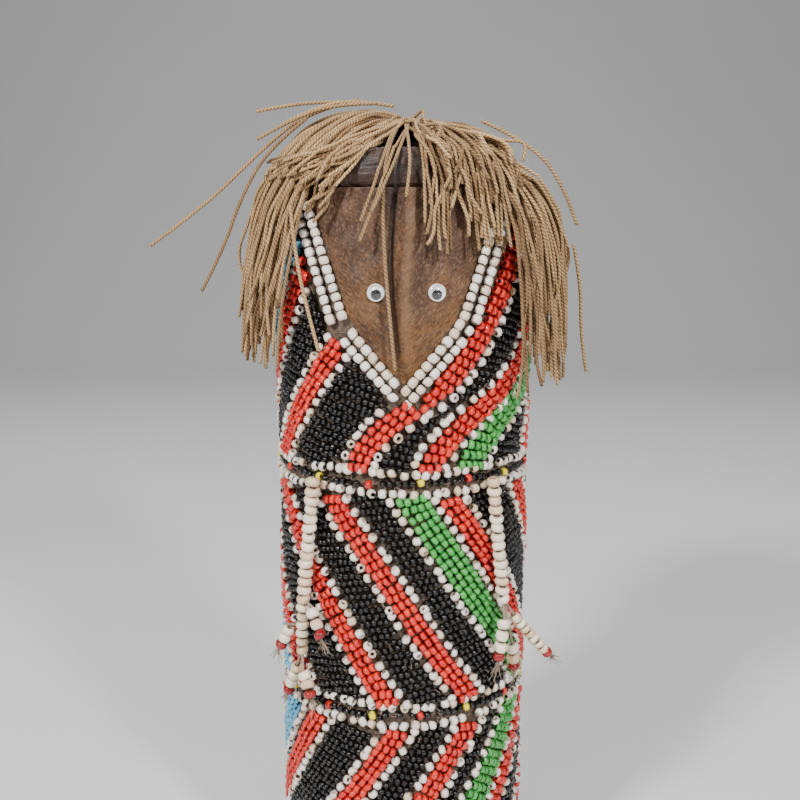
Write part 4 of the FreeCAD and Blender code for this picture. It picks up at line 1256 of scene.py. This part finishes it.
def tuftMesh(name, root, way, seed, count=22):
    # a few fine fibres that spread from a bead's hole: each path is root + way * distance plus a random
    # sideways drift that grows with the square of the distance
    draw = np.random.default_rng(seed)
    length = draw.uniform(2.2, 5.2, (count, 1, 1))
    share = np.linspace(0, 1, 12)[None, :, None]
    drift = draw.normal(0, 1.0, (count, 1, 3)) * share**2 + draw.normal(0, 0.5, (count, 1, 3)) * share
    start = root + draw.normal(0, 0.15, (count, 1, 3))
    paths = start + way * length * share + drift * length / 4
    return twineMesh(name, paths, draw.uniform(0.5, 1.0, count), tuftRadius, fineSides, "fluff")


def jointOf(body):
    return next(joint for joint in frame["joints"] if joint["child"] == body)


def addArms():
    for side in ("left", "right"):
        loop = uneven(beadPlaces("arm_%s_loop" % side), 81)
        piece = beadMesh(
            "arm_%s_top_bead" % side, loop, ["creamChalk"], largeOutline, largeSides, looseSet["rough"], 82,
        )
        settle(piece, "shoulder_" + side, "arm_bead", "arm_%s_loop" % side)
        beads = uneven(beadPlaces("arm_%s_beads" % side, strung=True), 83 if side == "left" else 84)
        piece = beadMesh(
            "arm_%s_string" % side, beads, ["creamChalk"], largeOutline, largeSides, looseSet["rough"], 85,
        )
        settle(piece, "arm_" + side, "arm_bead", "arm_%s_beads" % side)


forkThread = {"radius": 0.45, "rings": 8, "tint": 0.6, "past": 1.4}


def addForks():
    # a thread from the nearest bead of the arm to each finger's pivot and a little past it, into the finger's
    # first bead, so that the two look tied at any pose
    for side in ("left", "right"):
        string = beadPlaces("arm_%s_beads" % side, strung=True)["middle"]
        ends = []
        for joint in frame["joints"]:
            if joint["child"].startswith("finger_" + side):
                pivot = np.array(joint["pos_m"]) / mm
                near = string[np.argmin(np.linalg.norm(string - pivot, axis=1))]
                ends.append((near, pivot + unit(pivot - near) * forkThread["past"]))
        ends = np.array(ends)
        share = np.linspace(0, 1, forkThread["rings"])[:, None]
        paths = ends[:, :1] + (ends[:, 1:] - ends[:, :1]) * share
        tints = np.full(len(paths), forkThread["tint"])
        piece = twineMesh("arm_%s_forks" % side, paths, tints, forkThread["radius"], 8, "fluff")
        settle(piece, "arm_" + side, "thread")
        print("  ", side, "forks", np.round(np.linalg.norm(ends[:, 1] - ends[:, 0], axis=1), 1))


def addFingers():
    names = [name for name in frame["nodes"] if name.startswith("finger_")]
    for number, name in enumerate(sorted(names)):
        pivot = np.array(jointOf(name)["pos_m"]) / mm
        beads = beadPlaces(name, strung=True)
        distance = np.linalg.norm(beads["middle"] - pivot, axis=1)
        tip = int(np.argmax(distance))
        beads["which"] = (np.arange(len(distance)) == tip).astype(int)
        way = unit(beads["middle"][tip] - beads["middle"][int(np.argmin(distance))])
        end = beads["middle"][tip] + way * beads["length"][tip] * 0.3
        beads = uneven(beads, 91 + number)
        piece = beadMesh(
            name + "_beads", beads, ["creamChalk", "tipGlass"], largeOutline, largeSides, looseSet["rough"],
            95 + number,
        )
        settle(piece, name, "arm_bead", name)
        settle(tuftMesh(name + "_tuft", end, way, 120 + number), name, "thread")


addEdging()
addArms()
addForks()
addFingers()
print("edging, arms and fingers ready")


# face: a hide grid on the sleeve's radius, with the fold of the nose

faceSet = {
    "columns": 150, "rows": 190, "thickness": 1.1, "tuck": 0.9, "corner": 15.5, "cornerHeight": 206.5,
    "above": 3.2, "ridge": 2.3, "groove": 1.0, "heights": (188, 203, 216, 229, 243),
    "ridgeLine": (-0.2, -0.4, -0.6, 0.8, 1.6), "grooveLine": (-1.0, -2.9, -4.4, -3.6, -2.6),
}


def ripple(across, height, waves, seed):
    # a sum of slow random waves, from about -1 to 1
    draw = np.random.default_rng(seed)
    total = 0 * across
    for _ in range(waves):
        pace = draw.uniform(0.06, 0.42)
        way, start = draw.uniform(0, 6.3, 2)
        total = total + np.sin((across * np.cos(way) + height * np.sin(way)) * pace * 2 + start) / waves**0.5
    return total


def addFace():
    # the hide's depth is -sqrt(radius^2 - across^2), less a round ridge along the nose and a groove at its
    # left, both fading towards the chin, and slow ripples
    low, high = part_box("face_hide")
    half = max(-low.x, high.x) / mm
    bottom, top = low.z / mm, high.z / mm + faceSet["above"]
    share = np.linspace(0, 1, faceSet["rows"])[:, None]
    spread = np.linspace(-1, 1, faceSet["columns"])[None, :]
    height = bottom + (top - bottom) * share + 0 * spread
    edge = np.interp(height, [bottom, faceSet["cornerHeight"], top], [0.3, faceSet["corner"], half])
    edge = edge + faceSet["tuck"]
    across = spread * edge
    ridgeLine = np.interp(height, faceSet["heights"], faceSet["ridgeLine"])
    grooveLine = np.interp(height, faceSet["heights"], faceSet["grooveLine"])
    fade = np.clip((share - 0.02) / 0.30, 0, 1) ** 0.8
    right = np.exp(-((np.maximum(across - ridgeLine, 0) / 5.0) ** 2))
    left = np.exp(-((np.maximum(ridgeLine - across, 0) / 2.0) ** 2))
    ridge = faceSet["ridge"] * fade * right * left
    cut = np.exp(-(((across - grooveLine) / 0.85) ** 2))
    groove = faceSet["groove"] * cut * (0.35 + 0.65 * fade)
    rise = ridge - groove + 0.22 * ripple(across, height, 9, 5) + 0.06 * ripple(across * 4, height * 4, 9, 6)
    radius = clothRadius + 0.05
    depth = -np.sqrt(radius**2 - across**2) - rise
    points = np.stack([across, depth, height], -1).reshape(-1, 3) * mm
    # crease marks the painted shade in and beside the groove, and crest the painted highlight right of the
    # ridge
    wide = np.exp(-(((across - grooveLine) / 2.2) ** 2))
    crease = np.clip(cut * 0.55 + wide * 0.30 * fade, 0, 1)
    crest = fade * np.exp(-(((across - ridgeLine - 1.2) / 1.5) ** 2))
    quads = gridFaces(faceSet["rows"], faceSet["columns"], False)
    piece = meshPiece("face_skin", points, [quads], ["face"], {"crease": crease, "crest": crest})
    wall = piece.modifiers.new("wall", "SOLIDIFY")
    wall.thickness = faceSet["thickness"] * mm
    wall.offset = -1
    settle(piece, "doll", "face_hide", "face_hide")


browSet = {"angles": (-47, 47), "columns": 150, "sides": 40, "radius": 36.4, "tall": 6.0, "thick": 3.2}


def addBrow():
    # a roll: an ellipse carried along an arc round the head, wrinkled and pinched at both ends
    low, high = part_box("brow_roll")
    level = (low.z + high.z) / 2 / mm
    share = np.linspace(0, 1, browSet["columns"])[:, None]
    turn = np.linspace(0, 2 * np.pi, browSet["sides"], endpoint=False)[None, :]
    angle = browSet["angles"][0] + (browSet["angles"][1] - browSet["angles"][0]) * share
    pinch = np.sqrt(np.clip(1 - (2 * share - 1) ** 8, 0.02, 1))
    crinkle = 1 + 0.05 * ripple(angle * 2, turn * 7, 11, 8) + 0.035 * ripple(angle * 6, turn * 16, 11, 9)
    radius = browSet["radius"] + browSet["thick"] * pinch * crinkle * np.cos(turn)
    height = level + browSet["tall"] * pinch * crinkle * np.sin(turn)
    walls = around(radius, angle + 0 * turn, height).reshape(-1, 3)
    centres = around(browSet["radius"], np.array(browSet["angles"], float), level)
    rows, sides = browSet["columns"], browSet["sides"]
    number = np.arange(sides)
    after = (number + 1) % sides
    last = (rows - 1) * sides
    ends = np.concatenate([
        np.stack([np.full(sides, rows * sides), number, after], -1),
        np.stack([np.full(sides, rows * sides + 1), last + after, last + number], -1),
    ])
    quads = gridFaces(rows, sides, True)[:, ::-1]
    piece = meshPiece("brow_skin", np.concatenate([walls, centres]) * mm, [quads, ends], ["brow"])
    settle(piece, "doll", "hide", "brow_roll")


pupilSet = {"radius": 1.5, "thick": 0.35, "sides": 40}


def addPupils():
    # a black disc with a softened rim and a faintly domed face, as an outline turned about the way that the
    # eye looks: (radius, along) from the middle of its back to the middle of its front
    outline = np.array([
        (0.0, 0.0), (0.9, 0.0), (1.0, 0.12), (1.0, 0.8), (0.93, 0.97), (0.7, 1.05), (0.35, 1.2), (0.0, 1.25),
    ])
    sides = pupilSet["sides"]
    corner = 2 * np.pi * np.arange(sides) / sides
    for side in ("left", "right"):
        node = side + "_eye_pupil"
        low, high = (np.array(end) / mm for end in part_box(node))
        look = unit(np.array(jointOf(side + "_pupil")["axis"], float))
        level = unit(np.cross([0.0, 0.0, 1.0], look))
        back = (low + high) / 2 - look * pupilSet["thick"] / 2
        spokes = np.cos(corner)[:, None] * level + np.sin(corner)[:, None] * np.cross(look, level)
        rings = back + look * (outline[1:-1, 1:] * pupilSet["thick"])[:, None]
        rings = rings + pupilSet["radius"] * outline[1:-1, :1, None] * spokes
        rows = len(outline) - 2
        poles = back + look * (outline[[0, -1], 1:] * pupilSet["thick"])
        number = np.arange(sides)
        after = (number + 1) % sides
        first, last = rows * sides, rows * sides + 1
        fans = np.concatenate([
            np.stack([np.full(sides, first), after, number], -1),
            np.stack([np.full(sides, last), (rows - 1) * sides + number, (rows - 1) * sides + after], -1),
        ])
        points = np.concatenate([rings.reshape(-1, 3), poles]) * mm
        piece = meshPiece(side + "_pupil_disc", points, [gridFaces(rows, sides, True), fans], ["eyeBlack"])
        settle(piece, side + "_pupil", "eye_black", node)


fluffSet = {
    "count": 2400, "rings": 9, "seed": 141, "long": (1.6, 5.0), "radius": 0.095, "root": 0.4,
    "out": (0.2, 2.6), "nearBands": 0.35, "bandSpread": 3.5, "bands": (82.6, 158.1), "lowest": 7.0,
    "wander": 0.55, "bend": 0.8, "outward": 0.55,
}


def addFluff():
    # short fibres all over the sleeve, thicker near the two upper bands: each starts on the cloth and is the
    # running sum of random steps of one length, held between two distances from the cloth
    draw = np.random.default_rng(fluffSet["seed"])
    count, rings = fluffSet["count"], fluffSet["rings"]
    angle = draw.uniform(-180, 180, count)
    height = draw.uniform(fluffSet["lowest"], rimHeight - 1, count)
    near = draw.random(count) < fluffSet["nearBands"]
    level = draw.choice(np.array(fluffSet["bands"]), count) + draw.normal(0, fluffSet["bandSpread"], count)
    height = np.where(near, level, height)
    start = around(clothRadius + fluffSet["root"], angle, height)
    out = unit(start * np.array([1.0, 1.0, 0.0]))
    length = draw.uniform(*fluffSet["long"], count)[:, None, None]
    steps = draw.normal(0, 1, (count, rings - 1, 3)) * fluffSet["wander"]
    steps = steps + draw.normal(0, 1, (count, 1, 3)) * fluffSet["bend"]
    steps = steps + out[:, None] * fluffSet["outward"]
    walk = np.concatenate([np.zeros((count, 1, 3)), np.cumsum(unit(steps), axis=1)], axis=1)
    paths = start[:, None] + walk * length / rings
    radius = np.linalg.norm(paths[..., :2], axis=-1, keepdims=True)
    nearest, farthest = (clothRadius + gap for gap in fluffSet["out"])
    paths[..., :2] *= np.clip(radius, nearest, farthest) / radius
    keep = clearOfNeck({"middle": start}, 1.0)
    tints = draw.random(int(keep.sum()))
    piece = twineMesh("cloth_fluff", paths[keep], tints, fluffSet["radius"], fineSides, "fluff")
    settle(piece, "doll", "thread")


addFace()
addBrow()
addPupils()
addFluff()
print("face ready")


# frame nodes that keep their shape

nodeFinishes = {
    "wooden_core": "wood", "base_disc": "sole", "cloth_sleeve": "cloth", "hide_cap": "cap",
    "left_eye_cup": "eyeWhite", "right_eye_cup": "eyeWhite",
    "left_eye_dome": "clear", "right_eye_dome": "clear",
    "arm_left_thread": "fluff", "arm_right_thread": "fluff",
}
for node, material in nodeFinishes.items():
    mesh = frame["nodes"][node].data
    mesh.materials.clear()
    mesh.materials.append(finish[material])
print("frame nodes painted:", len(nodeFinishes))
